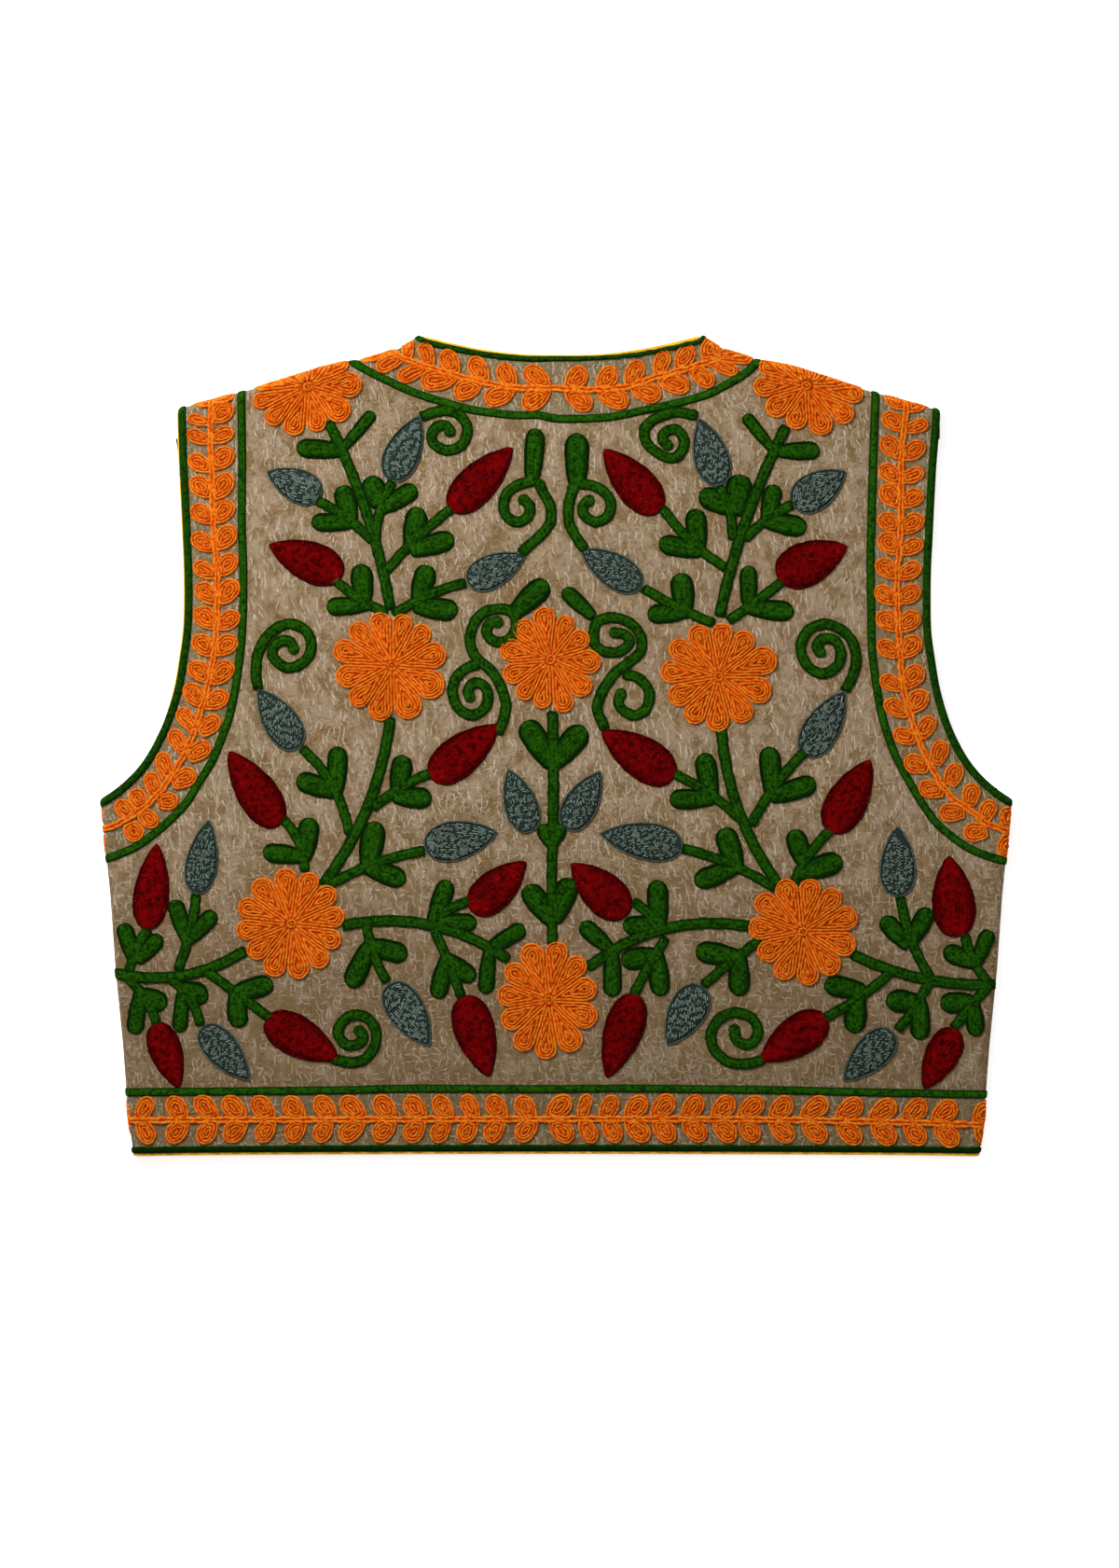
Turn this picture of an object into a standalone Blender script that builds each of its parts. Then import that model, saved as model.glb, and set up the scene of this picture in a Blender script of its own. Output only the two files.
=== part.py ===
"""Embroidered waistcoat, a cropped and sleeveless bolero laid flat with its back upwards.

The cloth is modelled as its maker cuts it.  Every piece is drawn in the cut's own plane, in
millimetres, with x across the back, y up towards the neck and h as the height off the middle
of the cloth.  The back is one panel that rolls over the sides and the shoulders and meets the
two fronts underneath, so fold_over() carries each of its points round those folds.
World axes: +X across the back, +Y towards the neck, +Z up, with the floor at zero.
"""
import math
from collections import namedtuple

import bmesh
import bpy
from mathutils import Vector, geometry

MM = 0.001

# ---- driving sizes, in millimetres -------------------------------------------------------
CLOTH = 2.0            # thickness of every cloth panel
LAYER_GAP = 0.4        # air between the back and the fronts that it lies on
SEAM_GAP = 0.3         # air between two pieces that are sewn together
FOLD_RADIUS = 2.3      # radius of the cloth's middle where it rolls over a side or shoulder
EDGE_STEP = 9.0        # least spacing of the points along the back's neck, armholes and hem
FRONT_STEP = 13.0      # the same along the edges of the fronts
FOLD_STEPS = 6         # straight steps that the mesh takes round a fold
FOLD_STEP = 2.2        # step of a bound edge where it rolls over a fold
LIFT_REACH = 18.0      # how far from a fold the back stays lifted by it
SIDE_WRAP = 15.0       # cloth of the back that lies under the side fold, up to the side seam
SHOULDER_WRAP = 12.0   # the same under the shoulder fold, up to the shoulder seam

BINDING_WIDTH = 4.2    # green chain-stitched edge binding
BINDING_RISE = 1.5     # how high the binding stands over the middle of the cloth
LINING_RISE = 0.6      # the same for the yellow edge of the lining
NECK_LINING = 1.4      # width of lining that shows outside the binding, at each edge
HEM_LINING = 1.2
ARMHOLE_LINING = 0.8

RELIEF = 1.0           # height of the filled motifs over the ground
CORD_RELIEF = 0.8      # height of the stems, scrolls and green border lines
CORD_HALF_WIDTH = 2.2

# ---- outline of the back, right half, as (half width, y) or (y, half width) --------------
NECK_SHIFT = 2.5       # the neck lies this far to the right of the middle
NECK = (               # from the middle of the neck outwards: distance from the middle, y
    (0, 210), (16, 210.1), (26, 210.8), (35, 211.8), (45, 213.3), (55, 215.3),
    (65, 217.6), (73, 219.9), (77.5, 224), (79, 231), (79.2, 243),
)
SHOULDER_NECK = (77.25, 219.5)   # where the shoulder fold meets the neck, and the armhole
SHOULDER_TIP = (204.75, 181.5)
ARMHOLE = (            # from the shoulder seam down to the side seam: half width, y
    (204.8, 205), (204.8, 192), (204.6, 178), (203.6, 155), (201.7, 122), (200.3, 92),
    (200.3, 66), (202.4, 48), (205.8, 29), (212.3, 9), (221.5, -8), (232.5, -20),
    (244.5, -28.5), (256, -33), (270, -34.5),
)
SIDE = (               # the side fold, seen from above: y, half width
    (40, 248), (-28.5, 244.25), (-50, 242.6), (-80, 239.6), (-120, 236.8), (-160, 232.8),
    (-200, 229.8), (-219, 227), (-240, 225),
)
HEM_Y = -220.0
HEM_RISE = 0.8         # the hem is this much higher at the sides

# ---- the fronts, right half; each lies hidden under the back -----------------------------
FRONT_NECKLINE = (     # shoulder seam to centre front and down to the side seam at the hem
    (82, 203.2), (79.5, 182), (69, 157), (50, 133), (26, 116), (9, 105), (1.6, 92),
    (0.6, 74), (0.6, -40), (0.6, -150), (0.8, -196), (4.2, -211), (18, -217.5),
    (60, -218), (140, -218), (212, -217.5),
)
FRONT_ARMHOLE = (
    (204.4, 166), (202, 150), (198, 125), (195.2, 95), (194.3, 65), (196, 40), (201, 18),
    (208, 0), (217, -18), (227, -33.4),
)

# ---- embroidery ----------------------------------------------------------------------------
PETALS = 12
FLOWERS = (            # centre x, centre y, radius
    (-133, 192.5, 30), (134, 193, 30), (-88, 43, 30), (87, 37.5, 30.5),
    (-142, -95, 30), (132, -99.5, 29.5), (-3, 46.5, 28), (-4, -136, 28.5),
)
BUDS = (               # base x, base y, tip x, tip y, width
    (-125, 135, -155, 148.5, 19), (-88, 142, -72, 177.5, 21), (-48, 88.5, -16, 104, 19),
    (-138, -1.5, -160, 31, 19), (-15, -46.5, -27, -12, 19), (-71, -54, -31, -46, 22),
    (-193, -79.5, -186, -39, 18), (-190, -150, -164, -179.5, 19), (-89, -127, -67, -161, 21),
    (5, -45, 24, -13, 19), (68, -53, 24, -45.5, 21), (87, 139.5, 76, 176, 20),
    (47, 86, 13, 107, 19), (127, 129, 156, 148, 21), (133, -5.5, 155, 30, 20),
    (183, -81, 183, -42.5, 20), (79, -128, 60, -160.5, 21), (180, -152, 153, -179, 19),
    (-56, 127, -24, 159.5, 20), (-115, 93, -153, 108.5, 21), (-149, -42, -175, -3.5, 21),
    (-67, -16, -32, 12, 21), (-219, -97.5, -214, -53, 18), (-213, -149, -202, -182.5, 15),
    (-155, -146.5, -117, -167.5, 21), (-45, -88, -17, -62.5, 20), (-48, -134.5, -35, -176.5, 21),
    (38, -89.5, 9, -63, 21), (43, -133.5, 28, -177, 20), (55, 126, 26, 158.5, 20),
    (119, 91, 155, 107, 22), (62, -16, 25, 7.5, 21), (147, -45.5, 168, -8, 21),
    (214, -101.5, 210, -59.5, 22), (144, -145.5, 110, -168, 21), (213, -151.5, 197, -182.5, 17),
)
LEAVES = (             # base x, base y, tip x, tip y, width
    (-115, 158.5, -139, 160, 10), (-114, 160, -98, 179, 6.5), (-110, 121.5, -115, 139.5, 11),
    (-109, 120, -131, 120, 9.5), (-95, 129.5, -100, 144.5, 12.5), (-93, 127.5, -75, 138.5, 10),
    (-78, 106, -74, 128, 11.5), (-77, 105, -55, 111.5, 11), (-103, 78.5, -105, 97.5, 11.5),
    (-101, 76, -123, 74.5, 9.5), (-74, 77, -69, 97, 11.5), (-75, 75, -53, 72.5, 11.5),
    (-13, 141, -11, 170, 10), (-22, 72, -5, 88, 12), (-118, -24, -117, -0.5, 10.5),
    (-119, -24.5, -139, -17.5, 11), (-85, -25, -82, -5, 11), (-86, -27, -67, -28, 11),
    (-135, -60, -132, -38.5, 11), (-136, -59, -157, -56.5, 10), (-101, -65, -97, -40.5, 12.5),
    (-101, -65, -81, -72, 11), (-226, -115, -232, -95, 9), (-224, -114.5, -212, -101.5, 9),
    (-198, -104, -205, -82.5, 9), (-197, -104, -183, -89, 9), (-222, -132, -225, -154.5, 9),
    (-221, -133, -209, -139, 11), (-200, -129, -202, -153, 8), (-200, -130, -187, -135, 12),
    (-172, -132, -152, -127, 11), (-172, -133, -170, -150.5, 10.5),
    (-100, -106.5, -109, -127.5, 11), (-100, -106.5, -80, -112, 11), (-66, -94, -58, -72, 10),
    (-66, -94.5, -43, -94.5, 9.5), (-59, -113.5, -64, -135, 9.5), (-59, -113.5, -44, -125, 10),
    (-36, -108.5, -17, -97, 9), (-36, -109.5, -38, -132.5, 8.5),
    (-3, -9, -17, 13, 13), (-1, -9, 15, 10, 13), (-3, -93, -16, -75, 12), (-1, -93, 8, -71, 12),
    (-3, -52.5, -8, -42, 8), (-2, -52.5, 3, -42, 8),
    (116, 159, 101, 177.5, 6.5), (120, 158, 141, 158.5, 9.5), (95, 127, 77, 135.5, 12),
    (96, 125, 99, 145.5, 14), (113, 122, 117, 140, 9), (113, 120.5, 134, 117, 10),
    (103, 74, 103, 96.5, 9), (104, 74, 127, 72, 10.5), (77, 106, 75, 127, 11),
    (77, 104.5, 56, 109, 10.5), (70, 73, 68, 91.5, 12), (70, 72, 49, 70.5, 9),
    (11, 140, 11, 167.5, 13), (19, 70, 4, 84, 8.5), (83, -26, 79, -4, 11.5),
    (83, -28, 61, -28.5, 10.5), (116, -27, 114, -0.5, 11), (116, -27.5, 139, -20, 12),
    (97, -64, 90, -44, 12), (96, -64.5, 75, -72.5, 11), (133, -63, 127, -45, 11),
    (131, -68, 153, -61, 12), (188, -106.5, 175, -92, 10), (190, -105, 200, -87, 10),
    (223, -116, 208, -109, 10), (225, -116, 231, -99, 7.5), (164, -130.5, 144, -125, 11),
    (162, -133.5, 160, -153.5, 11.5), (192, -136.5, 177, -136.5, 12), (195, -137, 195, -156.5, 9.5),
    (222, -136.5, 206, -138, 11), (223, -137, 225, -155, 8.5), (28, -108, 14, -95, 9),
    (30, -109.5, 30, -134, 9.5), (53, -111.5, 35, -114.5, 11.5), (54, -111.5, 56, -133.5, 10.5),
    (55, -97, 54, -72, 11), (55, -95.5, 36, -96, 9), (97, -112.5, 75, -109, 11),
    (98, -112.5, 98, -133.5, 11),
)
STEMS = (              # start x, start y, end x, end y, bow to the left of the way from start to end
    (-122, 173.5, -89, 74, 6), (-128, 131.5, -99, 110, 2), (-88, 141.5, -97, 110, -2),
    (-56, 127.5, -91, 94, -1.5), (-119, 89.5, -91, 71.5, -1.5), (-49, 87.5, -87, 70.5, -2),
    (-89, 15, -125, -74, 6.5), (-136, -1.5, -111, -46.5, 4.5), (-68, -14.5, -98, -33, -1.5),
    (-146, -39.5, -135, -66.5, 3), (-122, -74.5, -71, -56, 2.5), (-219, -98, -229, -121, -1),
    (-193, -80, -203, -120, 1.5), (-236, -121.5, -167, -109.5, -7.5), (-230, -123.5, -214, -148.5, 2),
    (-208, -124, -191, -149, 3.5), (-188, -120, -153, -146, 0), (-114, -96, -26, -114, 11.5),
    (-102, -95, -91, -126, -1.5), (-67, -95, -47, -83, 1.5), (-66, -97, -51, -134, 0.5),
    (-2, 18, -2, -52.5, 0.5), (-2, -52.5, -2, -106, -0.5), (123, 171, 88, 70, -6),
    (127, 129, 102, 110.5, -1.5), (57, 127.5, 91, 95.5, -2.5), (47, 85, 84, 66.5, -1),
    (121, 87.5, 93, 67, 0.5), (89, 9, 119, -74, -4.5), (63, -14, 101, -41, 2.5),
    (130, -6.5, 105, -42, -2), (68, -53.5, 117, -75.5, 2.5), (148, -44, 130, -71, -2),
    (103, -96.5, 17, -119, -8.5), (42, -83, 55, -97, 1.5), (59, -103, 42, -133.5, -0.5),
    (109, -104, 79, -128, -0.5), (159, -111.5, 234, -127.5, -5), (185, -81.5, 201, -124, -2.5),
    (219, -101.5, 231, -126, -2), (179, -122, 144, -146, 1.5), (200, -126, 183, -152, 1),
    (231, -129, 213, -151, -0.5),
)
SCROLLS = (            # middle line of each curled stroke, x and y, from its bud to its eye
    ((-72, 177), (-59, 181), (-50, 177), (-46, 168), (-50, 160.5), (-59, 157), (-67, 162),
     (-66, 171), (-58, 172)),
    ((-11, 142), (-21, 140.5), (-28, 131.5), (-26, 122.5), (-19, 119.5), (-13, 125), (-17, 132)),
    ((-9, 140), (-3, 127.5), (-5, 117), (-19, 104)),
    ((-160, 31), (-161, 42), (-158, 54), (-152, 63), (-143, 66.5), (-134, 62), (-131, 54),
     (-135, 46), (-142, 42), (-150, 45), (-151, 54), (-143, 57)),
    ((-33, 65), (-37, 60), (-31, 56), (-23, 60), (-22, 70), (-30, 74), (-40, 71), (-46, 60),
     (-44, 49), (-33, 38), (-27, 22), (-31, 7)),
    ((-41, 44.5), (-49, 42), (-55, 35), (-55, 26), (-49, 16.5), (-41, 18), (-37, 27), (-41, 33),
     (-47, 31)),
    ((-120, -168.5), (-108, -170.5), (-97, -164), (-94, -154.5), (-100, -144.5), (-110, -142),
     (-117, -149.5), (-115, -159), (-106, -160)),
    ((75, 175.5), (64, 179), (53, 176.5), (48, 168.5), (49, 159.5), (57, 154), (66, 156),
     (67, 166), (59, 168)),
    ((10, 141), (23, 140.5), (30, 132), (28, 123), (19, 120), (13, 127), (18, 132)),
    ((9, 138), (6, 128.5), (7, 118), (15, 106)),
    ((155, 30), (160, 41), (160, 52.5), (154, 61.5), (144, 65), (135, 61.5), (131, 52.5),
     (135, 43), (143, 39), (151, 44), (151, 53), (143, 54)),
    ((110, -166.5), (98, -170.5), (87, -166), (84, -155), (89, -145), (98, -142), (107, -147),
     (107, -157), (98, -160)),
    ((33, 61.5), (38, 59), (36, 52), (25, 51), (20, 58), (21, 69), (29, 71), (41, 68), (46, 58),
     (43, 49), (30, 37.5), (22, 22), (26, 9.5)),
    ((37, 39.5), (45, 37), (50, 29), (48, 19), (39, 16.5), (34, 24)),
)

# ---- borders: a leafy vine between two green lines ----------------------------------------
LeafSize = namedtuple("LeafSize", "along outer inner width")   # reach along and off the vine
HEM_LEAF = LeafSize(8.0, 12.2, 13.6, 9.6)
NECK_LEAF = LeafSize(9.0, 11.8, 10.4, 9.6)
ARMHOLE_LEAF = LeafSize(10.0, 9.8, 10.6, 9.6)
HEM_VINE_Y = -201.0
HEM_VINE_END = 226.0
HEM_PITCH = 15.8
HEM_LINE_Y = -184.5
NECK_VINE = ((2.5, 192), (22, 192), (41, 196), (60, 200), (79, 205), (96, 210), (106, 215))
NECK_PITCH = 15.0
NECK_LINE = ((2.5, 176), (24, 176.5), (53, 181.5), (74, 187), (90, 193.5), (107, 206), (114, 213))
ARMHOLE_VINE = (
    (184.5, 196), (184.5, 170), (184, 135), (183, 95), (183, 70), (184.3, 51), (187.2, 31),
    (193.5, 6), (200.5, -7), (209, -20.5), (218, -29.5), (226, -36.5), (241, -45),
)
ARMHOLE_PITCH = 14.0
ARMHOLE_LINE = (
    (167, 204), (167.5, 185), (168, 150), (168, 110), (169, 75), (171.5, 48), (177, 10),
    (181, -1), (185.5, -9.5), (192, -20.5), (200, -32), (210, -40.5), (220, -49.5),
    (231, -55), (242, -61),
)

Motif = namedtuple("Motif", "box height loops lines")


# ---- curves --------------------------------------------------------------------------------
def smooth(points, step):
    """Points about step apart along a Catmull-Rom curve through the given points."""
    pts = [Vector((p[0], p[1])) for p in points]
    ends = [pts[0] * 2 - pts[1]] + pts + [pts[-1] * 2 - pts[-2]]
    out = []
    for a, b, c, d in zip(ends, ends[1:], ends[2:], ends[3:]):
        count = max(1, round((c - b).length / step))
        for k in range(count):
            t = k / count
            out.append(0.5 * (2 * b + (c - a) * t + (2 * a - 5 * b + 4 * c - d) * t * t
                              + (3 * b - 3 * c + d - a) * t ** 3))
    return out + [pts[-1]]


def directions(points):
    """The unit direction of a polyline at each of its points."""
    out = []
    for i in range(len(points)):
        ahead = points[min(i + 1, len(points) - 1)] - points[max(i - 1, 0)]
        out.append(ahead.normalized())
    return out


def shifted(points, distance):
    """A polyline moved sideways, to the right of its own direction."""
    return [p + Vector((d.y, -d.x)) * distance for p, d in zip(points, directions(points))]


def bowed(x0, y0, x1, y1, bow, step=15.0):
    """A shallow arc between two points, with its middle bow to the left of the chord."""
    start = Vector((x0, y0))
    chord = Vector((x1, y1)) - start
    side = Vector((-chord.y, chord.x)).normalized()
    count = max(2, round(chord.length / step))
    return [start + chord * (k / count) + side * (4 * bow * (k / count) * (1 - k / count))
            for k in range(count + 1)]


def interpolate(table, value):
    """Straight-line reading of a table of (value, result), whose values fall."""
    for (v0, r0), (v1, r1) in zip(table, table[1:]):
        if value >= v1 or (v1, r1) == table[-1]:
            return r0 + (r1 - r0) * (value - v0) / (v1 - v0)
    return table[-1][1]


def mirrored(points):
    return [Vector((-p.x, p.y)) for p in points]


# ---- the folds -------------------------------------------------------------------------------
OUTER = FOLD_RADIUS + CLOTH / 2
HALF_TURN = math.pi * FOLD_RADIUS


def side_bend(y):
    """Half width at which the back starts to roll over its side."""
    return interpolate(SIDE, y) - OUTER


def shoulder_bend(x):
    """Height y at which the back starts to roll over its shoulder."""
    neck_x = SHOULDER_NECK[0] + math.copysign(NECK_SHIFT, x)
    slope = (SHOULDER_NECK[1] - SHOULDER_TIP[1]) / (SHOULDER_TIP[0] - neck_x)
    return SHOULDER_TIP[1] + slope * (SHOULDER_TIP[0] - abs(x)) - OUTER


def roll(past):
    """Plan shift, height and normal of cloth lying past the start of a bend by that arc."""
    turn = min(past / FOLD_RADIUS, math.pi)
    plan = FOLD_RADIUS * math.sin(turn) - max(past - HALF_TURN, 0.0)
    height = CLOTH / 2 + FOLD_RADIUS * (1 + math.cos(turn))
    return plan, height, turn


def fold_over(x, y, h):
    """World point, in millimetres, of a point of the back's cut at height h off its middle."""
    past_side = abs(x) - side_bend(y)
    past_shoulder = y - shoulder_bend(x)
    flat = CLOTH / 2 + CLOTH + LAYER_GAP
    lift = CLOTH / 2 + 2 * FOLD_RADIUS - flat
    if past_side > 0 and past_side >= past_shoulder:
        plan, height, turn = roll(past_side)
    elif past_shoulder > 0:
        plan, height, turn = roll(past_shoulder)
    else:
        near = max(math.exp(-(past_side / LIFT_REACH) ** 2),
                   math.exp(-(past_shoulder / LIFT_REACH) ** 2))
        return Vector((x, y, flat + lift * near + h))
    if h > CLOTH / 2:
        h = CLOTH / 2 + (h - CLOTH / 2) * max(0.0, math.cos(turn / 2)) ** 2
    reach = plan + h * math.sin(turn)
    height += h * math.cos(turn)
    if past_side > 0 and past_side >= past_shoulder:
        return Vector((math.copysign(side_bend(y) + reach, x), y, height))
    return Vector((x, shoulder_bend(x) + reach, height))


def lie_under(x, y, h):
    """World point of a front, which lies flat on the floor with its outer side down."""
    return Vector((x, y, CLOTH / 2 - h))


# ---- raised embroidery ------------------------------------------------------------------------
def box_of(points, margin=0.0):
    xs = [p[0] for p in points]
    ys = [p[1] for p in points]
    return min(xs) - margin, min(ys) - margin, max(xs) + margin, max(ys) + margin


def bud_width(u):
    """Half width of a bud along its axis, as a share: round base, pointed tip."""
    return 0.0 if not 0 < u < 1 else u ** 0.5 * (1 - u) ** 0.85 / 0.4107


def leaf_width(u):
    """Half width of a leaf along its axis, as a share: narrow base, round end."""
    return 0.0 if not 0 < u < 1 else u ** 0.8 * (1 - u) ** 0.4 / 0.466


def blade(base_x, base_y, tip_x, tip_y, width, profile, stations, crest, edge=2.0, pointed=True):
    """A leaf or bud on an axis, raised to a soft top over a rim edge wide."""
    base = Vector((base_x, base_y))
    axis = Vector((tip_x, tip_y)) - base
    across = Vector((-axis.y, axis.x)).normalized()

    def place(u, share):
        return base + axis * u + across * (profile(u) * width / 2 * share)

    tip = [base + axis] if pointed else []
    rim = ([base] + [place(u, 1.0) for u in stations] + tip
           + [place(u, -1.0) for u in reversed(stations)])
    top = [place(u, share) for u, share in crest]

    def height(x, y):
        p = Vector((x, y)) - base
        u = p.dot(axis) / axis.length_squared
        inside = profile(u) * width / 2 - abs(p.dot(across))
        return RELIEF * min(max(inside / edge, 0.0), 1.0)

    loops = [rim, top] if len(top) > 2 else [rim]
    lines = [] if len(top) > 2 else [top]
    return Motif(box_of(rim), height, loops, lines)


def bud(row):
    crest = ((0.12, 0.0), (0.37, 0.55), (0.8, 0.0), (0.37, -0.55))
    return blade(*row, bud_width, (0.06, 0.3, 0.66), crest)


def leaf(row):
    return blade(*row, leaf_width, (0.5, 0.92), ((0.7, 0.0),), pointed=False)


def petal_rim(radius, angle, phase):
    """Radius of the scalloped rim of a flower at an angle."""
    share = abs(((angle - phase) / (2 * math.pi / PETALS)) % 1.0 - 0.5) * 2
    notch = 0.12 * radius
    return radius - notch * (1 - share) ** 2.2


def flower(centre_x, centre_y, radius):
    """A round flower of nested petals, with grooves between them and a small middle."""
    centre = Vector((centre_x, centre_y))
    step = 2 * math.pi / PETALS
    phase = math.pi / 2
    groove_depth = 0.6 * RELIEF

    def ring(share, per_petal, inset=0.0, turned=0.0):
        out = []
        for k in range(PETALS * per_petal):
            angle = phase + step * (k / per_petal + turned)
            r = petal_rim(radius, angle, phase) * share - inset
            out.append(centre + Vector((math.cos(angle), math.sin(angle))) * r)
        return out

    def height(x, y):
        p = Vector((x, y)) - centre
        angle = math.atan2(p.y, p.x)
        rim = petal_rim(radius, angle, phase)
        rise = min(max((rim - p.length) / 1.6, 0.0), 1.0)
        groove = 1 - abs(((angle - phase) / step) % 1.0 - 0.5) * 2
        hollow = groove_depth * groove ** 3 if p.length > 0.25 * radius else 0.0
        return rise * (RELIEF - hollow)

    rim = ring(1.0, 3)
    top = ring(1.0, 2, 1.8)
    waist = ring(0.4, 1, turned=0.5)
    eye = ring(0.2, 1)
    return Motif(box_of(rim), height, [rim, top, waist, eye], [[centre]])


def stroke(middle, half_width=CORD_HALF_WIDTH, rise=CORD_RELIEF):
    """A raised line along a polyline, with a single crest."""
    left = shifted(middle, -half_width)
    right = shifted(middle, half_width)

    def height(x, y):
        p = Vector((x, y))
        best = half_width
        for a, b in zip(middle, middle[1:]):
            ab = b - a
            t = min(max((p - a).dot(ab) / ab.length_squared, 0.0), 1.0)
            best = min(best, (p - a - ab * t).length)
        return rise * (1 - best / half_width)

    return Motif(box_of(middle, half_width), height, [left + right[::-1]], [middle[1:-1]])


def vine(middle, pitch, first, size, outer_hand, forward=1.0):
    """A stem with a pair of leaves every pitch.  The garment's edge is on its outer_hand,
    1 for the left of its way; forward is -1 where the leaves lean back along that way."""
    motifs = [stroke(middle)]
    run = 0.0
    due = first
    for a, b in zip(middle, middle[1:]):
        way = (b - a).normalized()
        side = Vector((-way.y, way.x))
        while run + (b - a).length > due:
            foot = a + way * (due - run)
            for hand in (1, -1):
                across = size.outer if hand == outer_hand else size.inner
                start = foot + side * (hand * CORD_HALF_WIDTH * 0.6)
                tip = foot + way * (forward * size.along) + side * (hand * across)
                motifs.append(leaf((start.x, start.y, tip.x, tip.y, size.width)))
            due += pitch
        run += (b - a).length
    return motifs


def centred(table, hand):
    """A neck curve given for the right half, brought to one side of the shifted neck."""
    return [(NECK_SHIFT + hand * (x - NECK_SHIFT), y) for x, y in table]


def borders():
    """The leafy vines and the green lines that frame the neck, the armholes and the hem."""
    motifs = []
    for hand in (1, -1):
        hem = [Vector((hand * HEM_VINE_END * k / 8, HEM_VINE_Y)) for k in range(9)]
        motifs += vine(hem, HEM_PITCH, 2.0, HEM_LEAF, -hand)
        neck = smooth(centred(NECK_VINE, hand), 14)
        motifs += vine(neck, NECK_PITCH, 3.0, NECK_LEAF, hand)
        motifs.append(stroke(smooth(centred(NECK_LINE, hand), 18)))
        armhole = smooth([(hand * x, y) for x, y in ARMHOLE_VINE], 15)
        motifs += vine(armhole, ARMHOLE_PITCH, 18.0, ARMHOLE_LEAF, hand, forward=-1.0)
        motifs.append(stroke(smooth([(hand * x, y) for x, y in ARMHOLE_LINE], 18)))
        line_end = side_bend(HEM_LINE_Y) + HALF_TURN
        motifs.append(stroke([Vector((hand * line_end * k / 4, HEM_LINE_Y)) for k in range(5)]))
    return motifs


def embroidery():
    motifs = [flower(*row) for row in FLOWERS]
    motifs += [bud(row) for row in BUDS]
    motifs += [leaf(row) for row in LEAVES]
    motifs += [stroke(bowed(*row)) for row in STEMS]
    motifs += [stroke(smooth(points, 8)) for points in SCROLLS]
    return motifs + borders()


def relief_at(x, y, motifs):
    """Height of the highest motif over the ground at a point of the cut."""
    best = 0.0
    for motif in motifs:
        x0, y0, x1, y1 = motif.box
        if x0 <= x <= x1 and y0 <= y <= y1:
            best = max(best, motif.height(x, y))
    return best


# ---- panel outlines -----------------------------------------------------------------------------
def eased(points):
    """A curve of the back's edge with closer points where it rolls over a fold."""
    out = [points[0]]
    for a, b in zip(points, points[1:]):
        past = [max(abs(p.x) - side_bend(p.y), p.y - shoulder_bend(p.x)) for p in (a, b)]
        rolling = min(past) < HALF_TURN + CLOTH and max(past) > -CLOTH
        if rolling or (b - out[-1]).length > EDGE_STEP:
            out.append(b)
    return out if out[-1] == points[-1] else out + [points[-1]]


def edge_curves(hand, inset):
    """Neck, armhole and hem of one half of the back, moved in from the garment's edge by the
    three distances of inset.  Both halves run clockwise, with the cloth on the right."""
    neck = eased([Vector((p.x + hand * NECK_SHIFT, p.y)) for p in smooth(NECK, FOLD_STEP)])
    armhole = eased(smooth(ARMHOLE, FOLD_STEP))
    hem_end = side_bend(HEM_Y) + HALF_TURN + SIDE_WRAP
    count = round(hem_end / FOLD_STEP)
    hem = []
    for k in range(count, -1, -1):
        share = k / count
        hem.append(Vector((hem_end * share, HEM_Y + HEM_RISE * share * share)))
    hem = eased(hem)
    curves = [shifted(curve, d) for curve, d in zip((neck, armhole, hem), inset)]
    return curves if hand > 0 else [mirrored(curve)[::-1] for curve in curves]


def seam_reach(x, y):
    """How far a point of the cut lies short of the nearer seam, along the roll of the fold."""
    side = side_bend(y) + HALF_TURN + SIDE_WRAP - abs(x)
    shoulder = shoulder_bend(x) + HALF_TURN + SHOULDER_WRAP - y
    return min(side, shoulder)


def trimmed(points, reach_of, width=0.0):
    """A curve stopped at the seam lines.  A strip width wide to its right stops with it."""
    reach = [min(reach_of(p.x, p.y), reach_of(q.x, q.y))
             for p, q in zip(points, shifted(points, width))]
    out = []
    for k in range(len(points) - 1):
        if reach[k] >= 0:
            out.append(points[k])
        if (reach[k] >= 0) != (reach[k + 1] >= 0):
            out.append(points[k].lerp(points[k + 1], reach[k] / (reach[k] - reach[k + 1])))
    return out + ([points[-1]] if reach[-1] >= 0 else [])


def back_outline():
    """Outline of the back panel's cut, inside the bindings of its neck, armholes and hem."""
    edge = BINDING_WIDTH + 2 * SEAM_GAP
    inset = (edge + NECK_LINING, edge + ARMHOLE_LINING, edge + HEM_LINING)
    neck, armhole, hem = (trimmed(curve, seam_reach) for curve in edge_curves(1, inset))
    left_neck, left_armhole, left_hem = (trimmed(curve, seam_reach)
                                         for curve in edge_curves(-1, inset))
    return neck + armhole + hem + left_hem[1:] + left_armhole + left_neck[:-1]


def station_lines():
    """Lines along the folds, so that the cloth bends there in even steps."""
    lines = []
    past = [-14.0] + [HALF_TURN * k / FOLD_STEPS for k in range(FOLD_STEPS + 1)]
    for hand in (1, -1):
        for distance in past:
            ys = [-224 + 34.6 * k for k in range(7)]
            lines.append([Vector((hand * (side_bend(y) + distance), y)) for y in ys])
            xs = [68 + 36 * k for k in range(5)]
            lines.append([Vector((hand * x, shoulder_bend(hand * x) + distance)) for x in xs])
    return lines


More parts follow.
